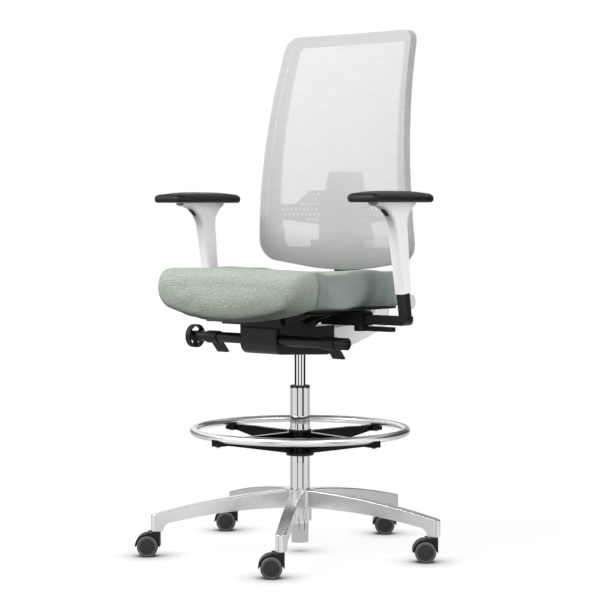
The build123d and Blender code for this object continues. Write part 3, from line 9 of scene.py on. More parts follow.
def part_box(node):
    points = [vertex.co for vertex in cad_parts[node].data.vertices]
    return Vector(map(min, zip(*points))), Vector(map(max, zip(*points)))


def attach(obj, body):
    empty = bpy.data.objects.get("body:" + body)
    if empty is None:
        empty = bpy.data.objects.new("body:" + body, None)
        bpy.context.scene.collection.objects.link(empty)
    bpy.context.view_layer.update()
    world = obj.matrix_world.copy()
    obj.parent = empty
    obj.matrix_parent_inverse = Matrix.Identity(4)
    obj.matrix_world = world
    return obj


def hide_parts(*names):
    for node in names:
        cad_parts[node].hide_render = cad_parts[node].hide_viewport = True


# Drafting chair: finishes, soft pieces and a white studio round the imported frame, in metres.

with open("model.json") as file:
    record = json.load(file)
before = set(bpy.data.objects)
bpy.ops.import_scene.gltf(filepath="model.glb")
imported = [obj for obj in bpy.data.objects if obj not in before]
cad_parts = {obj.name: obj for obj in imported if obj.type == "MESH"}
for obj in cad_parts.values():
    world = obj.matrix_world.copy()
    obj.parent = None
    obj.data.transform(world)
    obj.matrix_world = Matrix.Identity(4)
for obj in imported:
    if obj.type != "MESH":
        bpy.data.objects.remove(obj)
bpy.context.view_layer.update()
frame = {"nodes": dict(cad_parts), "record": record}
NODES = frame["nodes"]
SCENE = bpy.context.scene
SLOT_OF = {part["node"]: part["material_slot"] for part in frame["record"]["subparts"]}
SIDES = {"left": 1, "right": -1}
CASTERS = range(1, 6)
ORIGIN = (0.0, 0.0, 0.0)
UP = (0.0, 0.0, 1.0)
MERGE_DISTANCE = 1e-6

# Camera
CAMERA_PLACE = (3.0854, -3.6770, 0.8529)
CAMERA_HEADING = 40.0
CAMERA_DIP = 2.682
CAMERA_LENS = 116.0
CAMERA_SENSOR = 36.0

# Floor and sky
FLOOR_HALF = 8.0
FLOOR_GLOW = 0.85
FLOOR_GLOW_STRENGTH = 1.04
FLOOR_FADE = (0.7, 1.8)
FLOOR_SHADE = 0.65
FLOOR_BOUNCE = 0.03
CONTACT_REACH = 0.08
CONTACT_CLOSE = 0.3
AMBIENT_HORIZON = 0.47
AMBIENT_ZENITH = 0.74

# Softboxes: name, place, size, power, whether mirrors see it
LIGHT_AIM = (0.0, 0.0, 0.75)
SOFTBOXES = (
    ("key", (-1.0, -2.8, 3.0), 2.4, 164.0, True),
    ("fill", (2.8, -0.9, 1.9), 1.8, 26.0, True),
    ("side", (2.4, 0.9, 0.45), 0.8, 24.0, False),
    ("rear", (-1.0, 3.2, 2.2), 2.4, 50.0, False),
)

# Lower and upper edge of the cards: distance from the column and height
FLOOR_CARD = ((0.5, 0.003), (1.5, 0.03))
LOW_CARD = ((1.5, 0.03), (1.5, 0.272))
HIGH_CARD = ((1.5, 0.272), (1.5, 0.60))
SCREEN_CARD = ((1.5, 0.60), (1.5, 1.35))
CARD_STEPS = 24
# Cards: name, headings from the camera in degrees, edges, shade
CARDS = (
    ("floor_strip_left", -33.8, -21.8, FLOOR_CARD, 0.38),
    ("floor_strip_right", 25.2, 44.4, FLOOR_CARD, 0.38),
    ("low_strip_left", -33.8, -21.8, LOW_CARD, 0.01),
    ("low_strip_right", 25.2, 44.4, LOW_CARD, 0.015),
    ("high_strip_left", -44.0, -20.0, HIGH_CARD, 0.02),
    ("high_strip_right", 20.0, 44.0, HIGH_CARD, 0.02),
    ("wing_left", -150.0, -82.0, HIGH_CARD, 0.01),
    ("wing_right", 80.0, 150.0, HIGH_CARD, 0.01),
    ("floor_haze_left", -150.0, -96.0, FLOOR_CARD, 0.62),
    ("floor_haze_right", 96.0, 150.0, FLOOR_CARD, 0.62),
    ("haze_left", -150.0, -96.0, LOW_CARD, 0.62),
    ("haze_right", 96.0, 150.0, LOW_CARD, 0.62),
    ("screen_right", 80.0, 178.0, SCREEN_CARD, 0.05),
)
DISC_SIDES = 48
# Discs: name, height, radius, shade
DISCS = (
    ("rug", 0.002, 0.45, 0.70),
    ("ceiling", 3.6, 3.4, 0.22),
)

# Seat cover
SEAT_VOXEL = 0.006
SEAT_START_INSET = 0.002
SEAT_SWELL_LIMIT = 0.0065
SEAT_CROWN_LIMIT = 0.0005
SEAT_PRESSURE = 4.0
SEAT_FRAMES = 20
SEAT_SMOOTHING = 4
SEAT_SETTLING = 4
SEAT_FLAT_START = -0.2125
SEAT_GAP = 0.0004
SEAM_FRONT = -0.216
SEAM_TOP_DROP = 0.006
SEAM_WIDTH = 0.0035
SEAM_DEPTH = 0.0016
SEAM_STEEPNESS = 0.8
# Seam darkening: partly a darker thread colour, partly painted shade in the seam's crease
SEAM_SHADE = 0.55
SEAM_THREAD = (0.13, 0.17, 0.15, 1.0)
YARN_SHARE = 0.35
SLUB_SHARE = 0.65
WEAVE_PITCH = 0.0014
WEAVE_WANDER = 0.6

# Back cover
BACK_TOP = (0.200, 1.299)
BACK_WAIST = (0.2346, 0.880)
BACK_LOW = (0.2445, 0.729)
BACK_FOOT = 0.693
BACK_TOP_ROUND = 0.034
BACK_WAIST_ROUND = 1.4
BACK_LOW_ROUND = 0.052
BACK_FOOT_ROUND = 0.7
BACK_CORNER_STEPS = 10
BACK_PROFILE = ((0.162, 0.660), (0.141, 0.880), (0.217, 1.330))
BACK_WRAP_RADIUS = 1.35
BACK_SKIRT_DEPTH = 0.025
BACK_SKIRT_OUT = 0.0012
BACK_EDGE_ROUND = 0.0045
BACK_EDGE_STEPS = 4
BACK_CLOTH = 0.001
BACK_CELL = 0.014
BACK_CREASE = 60.0
BACK_NOTCH_HALF = 0.053
BACK_NOTCH_DEPTH = 0.0068
KNIT_ROW = 0.0021
KNIT_WALE = 0.0016
KNIT_DENSE = (0.70, 0.79)
KNIT_OPEN = (0.64, 0.36)
KNIT_EDGE = 0.08
# Heights over which painted shade darkens the knit's colour towards the foot
KNIT_PAINTED_SHADE = (0.69, 0.80)

# Arm pads
PAD_OUTER_ROUND = 0.013
PAD_INNER_ROUND = 0.024
PAD_REAR_ROUND = 0.03
PAD_CORNER_STEPS = 8
PAD_EDGE_TOP = 0.0195
PAD_TOP_ROUND = 0.009
PAD_TOP_STEPS = 5
PAD_LOW_ROUND = 0.008
PAD_LOW_STEPS = 4
PAD_CELL = 0.012
PAD_CREASE = 50.0
PAD_LEVEL = 1e-5
PAD_FACING_DOWN = -0.99
PAD_POCKET_HALF_WIDTH = 0.0286
PAD_POCKET_HALF_LENGTH = 0.0876
PAD_POCKET_DEPTH = 0.0045

# Foot ring
RING_STEPS = 160
RING_SIDES = 32

# Caster caps: the dish's distance from the wheels' middle, and radius and height of the cap above it
CAP_SEAT = 0.0222
CAP_STEPS = 48
CAP_PROFILE = (
    (0.0, 0.0002),
    (0.0186, 0.0002),
    (0.0186, 0.0014),
    (0.0180, 0.0019),
    (0.0166, 0.0019),
    (0.0160, 0.0012),
    (0.01116, 0.0018),
    (0.00558, 0.0021),
    (0.0, 0.0022),
)


# Material nodes


def paint(name, color, roughness, metallic=0.0, **sockets):
    """A material whose plain values sit on its shader's own sockets."""
    material = bpy.data.materials.new(name)
    material.use_nodes = True
    shader = shader_of(material)
    shader.inputs["Base Color"].default_value = (*color, 1.0)
    shader.inputs["Roughness"].default_value = roughness
    shader.inputs["Metallic"].default_value = metallic
    for socket, value in sockets.items():
        shader.inputs[socket.replace("_", " ")].default_value = value
    return material


def shader_of(material):
    return material.node_tree.nodes["Principled BSDF"]


def surface_of(material):
    return material.node_tree.nodes["Material Output"].inputs["Surface"]


def add_node(owner, kind, **inputs):
    """A node in the tree of a material or the world, with its inputs set or linked."""
    node = owner.node_tree.nodes.new(kind)
    for name, value in inputs.items():
        feed(owner, node.inputs[name.replace("_", " ")], value)
    return node


def feed(owner, socket, value):
    if isinstance(value, bpy.types.NodeSocket):
        owner.node_tree.links.new(value, socket)
    else:
        socket.default_value = value


def place_on(material, stretch=(1.0, 1.0, 1.0)):
    """The piece's own coordinates, stretched along its axes."""
    source = add_node(material, "ShaderNodeTexCoord").outputs["Object"]
    return add_node(material, "ShaderNodeMapping", Vector=source, Scale=stretch).outputs[0]


def speckle(material, scale, detail=2.0, stretch=(1.0, 1.0, 1.0)):
    """Soft noise with a grain of about 1 / scale metres."""
    place = place_on(material, stretch)
    return add_node(material, "ShaderNodeTexNoise", Vector=place, Scale=scale, Detail=detail).outputs[0]


def ribs(material, direction, pitch, distortion=0.0, source=None):
    """Even ribs across one axis of the piece or of another set of coordinates."""
    place = source or place_on(material)
    node = add_node(material, "ShaderNodeTexWave", Vector=place, Distortion=distortion)
    node.bands_direction = direction
    node.inputs["Scale"].default_value = math.pi / (10.0 * pitch)
    return node.outputs[1]


def between(owner, source, low, high, start=0.3, end=0.7):
    """A pattern turned into values from low to high."""
    ends = {"From_Min": start, "From_Max": end, "To_Min": low, "To_Max": high}
    return add_node(owner, "ShaderNodeMapRange", Value=source, **ends).outputs[0]


def combine(owner, operation, first, second):
    node = owner.node_tree.nodes.new("ShaderNodeMath")
    node.operation = operation
    feed(owner, node.inputs[0], first)
    feed(owner, node.inputs[1], second)
    return node.outputs[0]


def two_tone(material, source, dark, light, start=0.3, end=0.7):
    """A pattern turned into colours from dark to light."""
    node = add_node(material, "ShaderNodeValToRGB", Fac=source)
    low, high = node.color_ramp.elements
    low.position, low.color = start, (*dark, 1.0)
    high.position, high.color = end, (*light, 1.0)
    return node.outputs[0]


def blend_colors(material, amount, first, second):
    node = material.node_tree.nodes.new("ShaderNodeMix")
    node.data_type = "RGBA"
    feed(material, node.inputs[0], amount)
    feed(material, node.inputs[6], first)
    feed(material, node.inputs[7], second)
    return node.outputs[2]


def painted_on(material, name):
    """A value that the piece's mesh carries at its points."""
    node = add_node(material, "ShaderNodeAttribute")
    node.attribute_name = name
    return node.outputs["Fac"]


def tint(material, color):
    feed(material, shader_of(material).inputs["Base Color"], color)


def vary_roughness(material, scale, low, high, detail=2.0):
    """Roughness that wanders between two values over the surface."""
    cloud = between(material, speckle(material, scale, detail), low, high)
    feed(material, shader_of(material).inputs["Roughness"], cloud)


def emboss(material, source, depth):
    """Bump of a real depth from a pattern."""
    node = add_node(material, "ShaderNodeBump", Height=source, Distance=depth, Strength=1.0)
    feed(material, shader_of(material).inputs["Normal"], node.outputs[0])


# Finishes


def chrome(name, shine):
    material = paint(name, (shine, shine, shine), 0.014, 1.0)
    vary_roughness(material, 40.0, 0.008, 0.02)
    return material


def satin_chrome():
    """Plated tube with a soft sheen."""
    material = paint("satin_chrome", (0.80, 0.805, 0.81), 0.31, 1.0)
    vary_roughness(material, 60.0, 0.29, 0.33)
    return material


def polished_aluminium():
    material = paint("polished_aluminium", (0.71, 0.715, 0.72), 0.28, 1.0)
    vary_roughness(material, 18.0, 0.24, 0.33, 4.0)
    emboss(material, speckle(material, 55.0, 1.0), 0.00008)
    return material


def steel():
    material = paint("steel", (0.50, 0.51, 0.53), 0.32, 1.0)
    vary_roughness(material, 300.0, 0.25, 0.4)
    return material


def black_metal():
    """Powder coat with a fine orange peel."""
    material = paint("black_metal", (0.006, 0.006, 0.006), 0.42, Specular_IOR_Level=0.36)
    vary_roughness(material, 120.0, 0.34, 0.46)
    emboss(material, speckle(material, 900.0), 0.00012)
    return material


def smooth_black():
    """Smooth dark plastic that only shines at a glance."""
    material = paint("smooth_black", (0.004, 0.004, 0.004), 0.07, Specular_IOR_Level=0.08)
    vary_roughness(material, 60.0, 0.05, 0.09)
    return material


def black_plastic():
    """Moulded plastic with a spark-eroded grain."""
    material = paint("black_plastic", (0.006, 0.006, 0.006), 0.46, Specular_IOR_Level=0.28)
    vary_roughness(material, 90.0, 0.42, 0.55)
    emboss(material, speckle(material, 1400.0), 0.00015)
    return material


def wheel_grey():
    material = paint("wheel_grey", (0.085, 0.085, 0.09), 0.45)
    tint(material, two_tone(material, speckle(material, 160.0), (0.07, 0.07, 0.074), (0.10, 0.10, 0.105)))
    emboss(material, speckle(material, 700.0), 0.0001)
    return material


def wheel_cap():
    material = paint("wheel_cap", (0.022, 0.022, 0.023), 0.5, Specular_IOR_Level=0.35)
    vary_roughness(material, 200.0, 0.42, 0.58)
    emboss(material, speckle(material, 1100.0), 0.0001)
    return material


def arm_pad_black():
    """Soft skinned foam with a pebbled grain."""
    material = paint("arm_pad_black", (0.007, 0.007, 0.007), 0.40, Specular_IOR_Level=0.26)
    vary_roughness(material, 80.0, 0.38, 0.5)
    cells = add_node(material, "ShaderNodeTexVoronoi", Vector=place_on(material), Scale=650.0)
    emboss(material, cells.outputs[0], 0.0002)
    return material


def white_plastic():
    material = paint("white_plastic", (0.88, 0.88, 0.87), 0.36)
    tint(material, two_tone(material, speckle(material, 30.0), (0.87, 0.87, 0.86), (0.90, 0.90, 0.89)))
    emboss(material, speckle(material, 1200.0), 0.00006)
    return material


def back_grey():
    material = paint("back_grey", (0.66, 0.665, 0.665), 0.5)
    tint(material, two_tone(material, speckle(material, 40.0), (0.64, 0.645, 0.645), (0.68, 0.685, 0.685)))
    emboss(material, speckle(material, 1200.0), 0.0001)
    return material


def back_knit():
    """Open knit: rows of small gaps between light grey yarns, denser towards the foot, its colour darkened
    towards the foot as painted shade.
    """
    material = paint("back_knit", (0.60, 0.605, 0.60), 0.8, Sheen_Weight=0.2)
    parts = add_node(material, "ShaderNodeSeparateXYZ", Vector=place_on(material)).outputs
    round_rim = combine(material, "ADD", parts["X"], parts["Y"])
    lie = add_node(material, "ShaderNodeCombineXYZ", X=round_rim, Z=parts["Z"]).outputs[0]
    rows = ribs(material, "Z", KNIT_ROW, source=lie)
    wales = ribs(material, "X", KNIT_WALE, source=lie)
    gaps = combine(material, "MULTIPLY", rows, wales)
    open_share = between(material, parts["Z"], *KNIT_OPEN, *KNIT_DENSE)
    open_end = combine(material, "ADD", open_share, KNIT_EDGE)
    solid = between(material, gaps, 1.0, 0.0, open_share, open_end)
    feed(material, shader_of(material).inputs["Alpha"], solid)
    courses = speckle(material, 260.0, 2.0, (0.08, 0.08, 1.0))
    upper = two_tone(material, courses, (0.575, 0.577, 0.57), (0.625, 0.627, 0.62))
    # Painted shade: a much darker copy of the yarn colour, blended in towards the foot
    shaded_foot_colour = two_tone(material, courses, (0.235, 0.237, 0.235), (0.275, 0.277, 0.275))
    height = between(material, parts["Z"], 1.0, 0.0, *KNIT_PAINTED_SHADE)
    tint(material, blend_colors(material, height, upper, shaded_foot_colour))
    emboss(material, combine(material, "MAXIMUM", rows, wales), 0.0003)
    return material


def seat_fabric():
    """Sage melange weave: mixed yarns, short slubs and a fine crossed texture, with painted shade
    darkening the side panels.
    """
    material = paint("seat_fabric", (0.38, 0.44, 0.37), 0.9, Sheen_Weight=0.08, Sheen_Roughness=0.5)
    yarns = speckle(material, 700.0, 2.0, (1.0, 1.0, 0.5))
    slubs = speckle(material, 520.0, 2.0, (0.6, 1.0, 1.0))
    yarn_part = combine(material, "MULTIPLY", yarns, YARN_SHARE)
    slub_part = combine(material, "MULTIPLY", slubs, SLUB_SHARE)
    mixed = combine(material, "ADD", yarn_part, slub_part)
    top = two_tone(material, mixed, (0.23, 0.275, 0.23), (0.47, 0.522, 0.452), 0.36, 0.62)
    # Painted shade: a darker copy of the top colour, laid on the side panels
    side = two_tone(material, mixed, (0.165, 0.212, 0.192), (0.335, 0.39, 0.362), 0.36, 0.62)
    cloth = blend_colors(material, painted_on(material, "shaded_side_panel"), top, side)
    # Seams: a darker thread colour plus painted crease shade, fading out over SEAM_WIDTH
    shade = combine(material, "MULTIPLY", painted_on(material, "seam"), SEAM_SHADE)
    tint(material, blend_colors(material, shade, cloth, SEAM_THREAD))
    weave = combine(material, "MULTIPLY", yarns, 2.0)
    for direction in "XYZ":
        threads = ribs(material, direction, WEAVE_PITCH, WEAVE_WANDER)
        weave = combine(material, "ADD", weave, threads)
    emboss(material, weave, 0.00035)
    return material


FINISHES = {
    "polished_aluminium": polished_aluminium(),
    "chrome": chrome("chrome", 0.82),
    "steel": steel(),
    "black_metal": black_metal(),
    "black_plastic": black_plastic(),
    "wheel_grey": wheel_grey(),
    "arm_pad_black": arm_pad_black(),
    "white_plastic": white_plastic(),
    "back_grey": back_grey(),
    "back_mesh": back_knit(),
    "seat_fabric": seat_fabric(),
}
WHEEL_CAP = wheel_cap()
RING_SATIN = satin_chrome()
OWN_FINISH = {
    "foot_ring_hub": smooth_black(),
    "column_tube": chrome("column_chrome", 0.65),
    "arm_left_pad_plate": FINISHES["white_plastic"],
    "arm_right_pad_plate": FINISHES["white_plastic"],
    "tilt_pin": FINISHES["black_metal"],
    "recline_pin": FINISHES["black_metal"],
}


def finish_frame():
    """Every CAD node takes its own finish or that of its slot."""
    for name, node in NODES.items():
        node.data.materials.clear()
        node.data.materials.append(OWN_FINISH.get(name, FINISHES[SLOT_OF[name]]))


# Making pieces


def piece_from(bm, name, material, crease=40.0):
    """A bmesh made into a smooth piece with its sharp edges kept."""
    bmesh.ops.recalc_face_normals(bm, faces=bm.faces[:])
    mesh = bpy.data.meshes.new(name)
    bm.to_mesh(mesh)
    bm.free()
    mesh.shade_smooth()
    mesh.set_sharp_from_angle(angle=math.radians(crease))
    mesh.materials.append(material)
    piece = bpy.data.objects.new(name, mesh)
    SCENE.collection.objects.link(piece)
    return piece


def settle(piece):
    """Replace the piece's mesh by what its modifiers make of it."""
    graph = bpy.context.evaluated_depsgraph_get()
    mesh = bpy.data.meshes.new_from_object(piece.evaluated_get(graph))
    piece.modifiers.clear()
    piece.data = mesh


def new_verts(result):
    """The vertices that an operator made."""
    return [item for item in result["geom"] if isinstance(item, bmesh.types.BMVert)]


def round_off(bm, geom, affect, distance, segments):
    """Cut edges, or the corners of a flat face, back by a distance and round them."""
    shape = {"offset_type": "OFFSET", "segments": segments, "profile": 0.5, "material": -1}
    bmesh.ops.bevel(bm, geom=geom, offset=distance, affect=affect, **shape)


def cut(bm, place, normal, faces=None):
    """Divide faces along a plane."""
    faces = faces or bm.faces[:]
    parts = {item for face in faces for item in (face, *face.edges, *face.verts)}
    bmesh.ops.bisect_plane(bm, geom=list(parts), dist=MERGE_DISTANCE, plane_co=place, plane_no=normal)


def slice_up(bm, axis, low, high, step):
    """Divide everything into even slices along an axis."""
    count = math.ceil((high - low) / step)
    normal = Vector((axis == "x", axis == "y", axis == "z"))
    for index in range(1, count):
        cut(bm, normal * (low + (high - low) * index / count), normal)


def spin_round(bm, geom, steps):
    """Turn a profile once about Z and close the seam and poles."""
    bmesh.ops.spin(bm, geom=geom, angle=math.tau, steps=steps, axis=UP, cent=ORIGIN, use_merge=True)
    bmesh.ops.remove_doubles(bm, verts=bm.verts[:], dist=MERGE_DISTANCE)


def rotate(bm, verts, angle, axis):
    """Turn vertices about an axis through the origin."""
    bmesh.ops.rotate(bm, verts=verts, cent=ORIGIN, matrix=Matrix.Rotation(angle, 3, axis))


# Seat cover


def swell(piece):
    """Let the cover fill under pressure, within limits, as foam does in a tight cover."""
    start = [vert.co.copy() for vert in piece.data.vertices]
    cloth = piece.modifiers.new("foam", "CLOTH")
    cloth.settings.use_pressure = True
    cloth.settings.uniform_pressure_force = SEAT_PRESSURE
    cloth.settings.effector_weights.gravity = 0.0
    for number in range(1, SEAT_FRAMES + 1):
        SCENE.frame_set(number)
    settle(piece)
    SCENE.frame_set(1)
    for vert, place in zip(piece.data.vertices, start):
        move = vert.co - place
        if move.length > SEAT_SWELL_LIMIT:
            move *= SEAT_SWELL_LIMIT / move.length
        move.z = min(move.z, SEAT_CROWN_LIMIT)
        vert.co = place + move


def even_out(piece, inset, rounds):
    """Draw the cover in by a little and smooth it."""
    bm = bmesh.new()
    bm.from_mesh(piece.data)
    bm.normal_update()
    for vert in bm.verts:
        vert.co -= vert.normal * inset
    axes = {"use_axis_x": True, "use_axis_y": True, "use_axis_z": True}
    for _ in range(rounds):
        bmesh.ops.smooth_vert(bm, verts=bm.verts[:], factor=0.5, **axes)
    bm.to_mesh(piece.data)
    bm.free()


def seam_distance(place, top):
    """How far a place on the cover is from the nearest seam."""
    corner = math.hypot(place.y - SEAM_FRONT, place.z - top)
    front_seam = abs(place.y - SEAM_FRONT) if place.z < top else corner
    top_seam = abs(place.z - top) if place.y > SEAM_FRONT else corner
    return min(front_seam, top_seam)


def sew(mesh, top):
    """Draw the seams in, mark them for the fabric's thread colour and painted crease shade, and mark the
    side panels for painted shade.
    """
    seam = mesh.attributes.new("seam", "FLOAT", "POINT")
    panel = mesh.attributes.new("shaded_side_panel", "FLOAT", "POINT")
    moves = []
    for index, vert in enumerate(mesh.vertices):
        beside = abs(vert.normal.z) < SEAM_STEEPNESS
        distance = seam_distance(vert.co, top)
        depth = math.exp(-((distance / SEAM_WIDTH) ** 2)) if beside else 0.0
        seam.data[index].value = depth
        panel.data[index].value = 1.0 if beside and vert.co.y > SEAM_FRONT and vert.co.z < top else 0.0
        moves.append(vert.normal * (-SEAM_DEPTH * depth))
    for vert, move in zip(mesh.vertices, moves):
        vert.co += move


def seat_cover():
    """The cushion: swollen from its solid, flat where it lies on the pan, with sewn side panels."""
    cover = bpy.data.objects.new("seat_cover", NODES["seat_cushion"].data.copy())
    SCENE.collection.objects.link(cover)
    remesh = cover.modifiers.new("even", "REMESH")
    remesh.mode = "VOXEL"
    remesh.voxel_size = SEAT_VOXEL
    settle(cover)
    even_out(cover, SEAT_START_INSET, SEAT_SMOOTHING)
    swell(cover)
    even_out(cover, 0.0, SEAT_SETTLING)
    finer = cover.modifiers.new("finer", "SUBSURF")
    finer.levels = 1
    finer.render_levels = 1
    settle(cover)
    mesh = cover.data
    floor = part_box("seat_pan")[1].z + SEAT_GAP
    for vert in mesh.vertices:
        if vert.co.y > SEAT_FLAT_START:
            vert.co.z = max(vert.co.z, floor)
    sew(mesh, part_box("seat_cushion")[1].z - SEAM_TOP_DROP)
    mesh.shade_smooth()
    mesh.materials.clear()
    mesh.materials.append(FINISHES["seat_fabric"])
    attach(cover, "seat")
    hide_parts("seat_cushion")


# Back cover


def circle_through(first, second, third):
    """Centre and radius of the circle through three points of a plane."""
    (ax, ay), (bx, by), (cx, cy) = first, second, third
    turn = 2.0 * (ax * (by - cy) + bx * (cy - ay) + cx * (ay - by))
    a, b, c = (x * x + y * y for x, y in (first, second, third))
    centre = Vector(((a * (by - cy) + b * (cy - ay) + c * (ay - by)) / turn,
                     (a * (cx - bx) + b * (ax - cx) + c * (bx - ax)) / turn))
    return centre, (centre - Vector(first)).length


def back_front(x, z, depth=0.0):
    """The Y of the curved back's front face, or of a layer behind it."""
    centre, radius = circle_through(*BACK_PROFILE)
    axis = BACK_PROFILE[1][0] - BACK_WRAP_RADIUS
    middle = centre.x - math.sqrt(radius * radius - (z - centre.y) ** 2) + depth
    return axis + math.sqrt((middle - axis) ** 2 - x * x)


def back_outline(bm, grow):
    """A flat face with the back's outline, seen from the front."""
    half = [(*BACK_TOP, BACK_TOP_ROUND), (*BACK_WAIST, BACK_WAIST_ROUND), (*BACK_LOW, BACK_LOW_ROUND)]
    centre_z = (BACK_TOP[1] + BACK_FOOT) / 2
    left = [(-x - grow, z + math.copysign(grow, z - centre_z), r) for x, z, r in half]
    right = [(-x, z, r) for x, z, r in reversed(left)]
    corners = left + [(0.0, BACK_FOOT - grow, BACK_FOOT_ROUND)] + right
    verts = [bm.verts.new((x, 0.0, z)) for x, z, _ in corners]
    bm.faces.new(verts)
    places = [vert.co.copy() for vert in verts]
    for index, (vert, (_, _, radius)) in enumerate(zip(verts, corners)):
        before = places[index - 1] - places[index]
        after = places[(index + 1) % len(places)] - places[index]
        distance = radius / math.tan(before.angle(after) / 2)
        round_off(bm, [vert], "VERTICES", distance, BACK_CORNER_STEPS)
    long_edges = [edge for edge in bm.edges if edge.calc_length() > 2 * BACK_CELL]
    for edge in long_edges:
        bmesh.ops.subdivide_edges(bm, edges=[edge], cuts=int(edge.calc_length() / BACK_CELL))


def largest_face(bm):
    return max(bm.faces, key=lambda face: face.calc_area())


def back_cover():
    """The knitted cover: one sheet stretched over the frame, turned round its rim to the rear."""
    bm = bmesh.new()
    back_outline(bm, BACK_SKIRT_OUT)
    depth_of = {vert: BACK_EDGE_ROUND for vert in bm.verts}
    done = 0.0
    for step in range(1, BACK_EDGE_STEPS + 1):
        angle = math.radians(90.0 * step / BACK_EDGE_STEPS)
        reach = BACK_EDGE_ROUND * (1.0 - math.cos(angle))
        bmesh.ops.inset_region(bm, faces=[largest_face(bm)], thickness=reach - done, use_even_offset=True)
        done = reach
        for vert in largest_face(bm).verts:
            depth_of[vert] = BACK_EDGE_ROUND * (1.0 - math.sin(angle))
    rim = [edge for edge in bm.edges if edge.is_boundary]
    for vert in new_verts(bmesh.ops.extrude_edge_only(bm, edges=rim)):
        notch = abs(vert.co.x) < BACK_NOTCH_HALF and vert.co.z < BACK_LOW[1]
        depth_of[vert] = BACK_NOTCH_DEPTH if notch else BACK_SKIRT_DEPTH
    for vert, depth in depth_of.items():
        vert.co.y = depth
    slice_up(bm, "x", -BACK_WAIST[0], BACK_WAIST[0], BACK_CELL)
    slice_up(bm, "z", BACK_FOOT, BACK_TOP[1], BACK_CELL)
    for vert in bm.verts:
        vert.co.y = back_front(vert.co.x, vert.co.z, vert.co.y + BACK_CLOTH / 2)
    area = sum(face.calc_area() for face in bm.faces)
    cover = piece_from(bm, "back_cover", FINISHES["back_mesh"], BACK_CREASE)
    wall = cover.modifiers.new("cloth", "SOLIDIFY")
    wall.thickness = BACK_CLOTH
    wall.offset = 0.0
    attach(cover, "backrest")
    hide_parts("back_mesh")


# Arm pads


def pad_plan(bm, low, high, side):
    """The pad's plan at its foot, with a sharper outer front corner."""
    inner, outer = (low.x, high.x) if side > 0 else (high.x, low.x)
    corners = [
        (outer, low.y, PAD_OUTER_ROUND),
        (outer, high.y, PAD_REAR_ROUND),
        (inner, high.y, PAD_REAR_ROUND),
        (inner, low.y, PAD_INNER_ROUND),
    ]
    verts = [bm.verts.new((x, y, low.z)) for x, y, _ in corners]
    bm.faces.new(verts)
    for vert, (_, _, radius) in zip(verts, corners):
        round_off(bm, [vert], "VERTICES", radius, PAD_CORNER_STEPS)


def crown_pad(bm, low, high):
    """Raise the pad's top to a soft crown."""
    middle = (low + high) / 2
    half = (high - low) / 2
    edge_top = low.z + PAD_EDGE_TOP
    crown = high.z - edge_top
    for vert in bm.verts:
        if vert.co.z > edge_top - PAD_LEVEL:
            across = (vert.co.x - middle.x) / half.x
            along = (vert.co.y - middle.y) / half.y
            vert.co.z += crown * (1.0 - across ** 2) * (1.0 - along ** 4)


def underside(bm):
    return [face for face in bm.faces if face.normal.z < PAD_FACING_DOWN]


def in_pocket(place, middle):
    offset = place - middle
    return abs(offset.x) < PAD_POCKET_HALF_WIDTH and abs(offset.y) < PAD_POCKET_HALF_LENGTH


def pocket_pad(bm, middle):
    """Sink a pocket for the pad's plate into its underside."""
    across = (PAD_POCKET_HALF_WIDTH, Vector((1, 0, 0)))
    along = (PAD_POCKET_HALF_LENGTH, Vector((0, 1, 0)))
    for reach, normal in (across, along):
        for end in (-1, 1):
            cut(bm, middle + normal * (end * reach), normal, underside(bm))
    pocket = [face for face in underside(bm) if in_pocket(face.calc_center_median(), middle)]
    sunk = new_verts(bmesh.ops.extrude_face_region(bm, geom=pocket))
    bmesh.ops.delete(bm, geom=pocket, context="FACES_ONLY")
    bmesh.ops.translate(bm, verts=sunk, vec=(0.0, 0.0, PAD_POCKET_DEPTH))


def arm_pad(name, side):
    """A firm pad: upright sides, soft edges, a crowned top and a pocket for its plate."""
    low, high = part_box(f"arm_{name}_pad")
    middle = (low + high) / 2
    bm = bmesh.new()
    pad_plan(bm, low, high, side)
    lifted = new_verts(bmesh.ops.extrude_face_region(bm, geom=bm.faces[:]))
    bmesh.ops.translate(bm, verts=lifted, vec=(0.0, 0.0, PAD_EDGE_TOP))
    bmesh.ops.recalc_face_normals(bm, faces=bm.faces[:])
    top_edges = [edge for edge in bm.edges if all(vert.co.z > middle.z for vert in edge.verts)]
    low_edges = [edge for edge in bm.edges if all(vert.co.z < middle.z for vert in edge.verts)]
    round_off(bm, top_edges, "EDGES", PAD_TOP_ROUND, PAD_TOP_STEPS)
    round_off(bm, low_edges, "EDGES", PAD_LOW_ROUND, PAD_LOW_STEPS)
    slice_up(bm, "x", low.x, high.x, PAD_CELL)
    slice_up(bm, "y", low.y, high.y, PAD_CELL)
    crown_pad(bm, low, high)
    pocket_pad(bm, middle)
    pad = piece_from(bm, f"arm_{name}_pad_skin", FINISHES["arm_pad_black"], PAD_CREASE)
    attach(pad, f"arm_{name}_pad")
    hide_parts(f"arm_{name}_pad")


# Foot ring and caster caps


def foot_ring():
    """The ring's tube, evenly rounded so that its plating mirrors smoothly."""
    low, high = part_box("foot_ring")
    tube = (high.z - low.z) / 2
    middle = (high.x - low.x) / 2 - tube
    bm = bmesh.new()
    start = bmesh.ops.create_circle(bm, segments=RING_SIDES, radius=tube)["verts"]
    rotate(bm, start, math.pi / 2, "X")
    bmesh.ops.translate(bm, verts=start, vec=(middle, 0.0, low.z + tube))
    spin_round(bm, bm.verts[:] + bm.edges[:], RING_STEPS)
    ring = piece_from(bm, "foot_ring_tube", RING_SATIN)
    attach(ring, "ring")
    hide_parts("foot_ring")


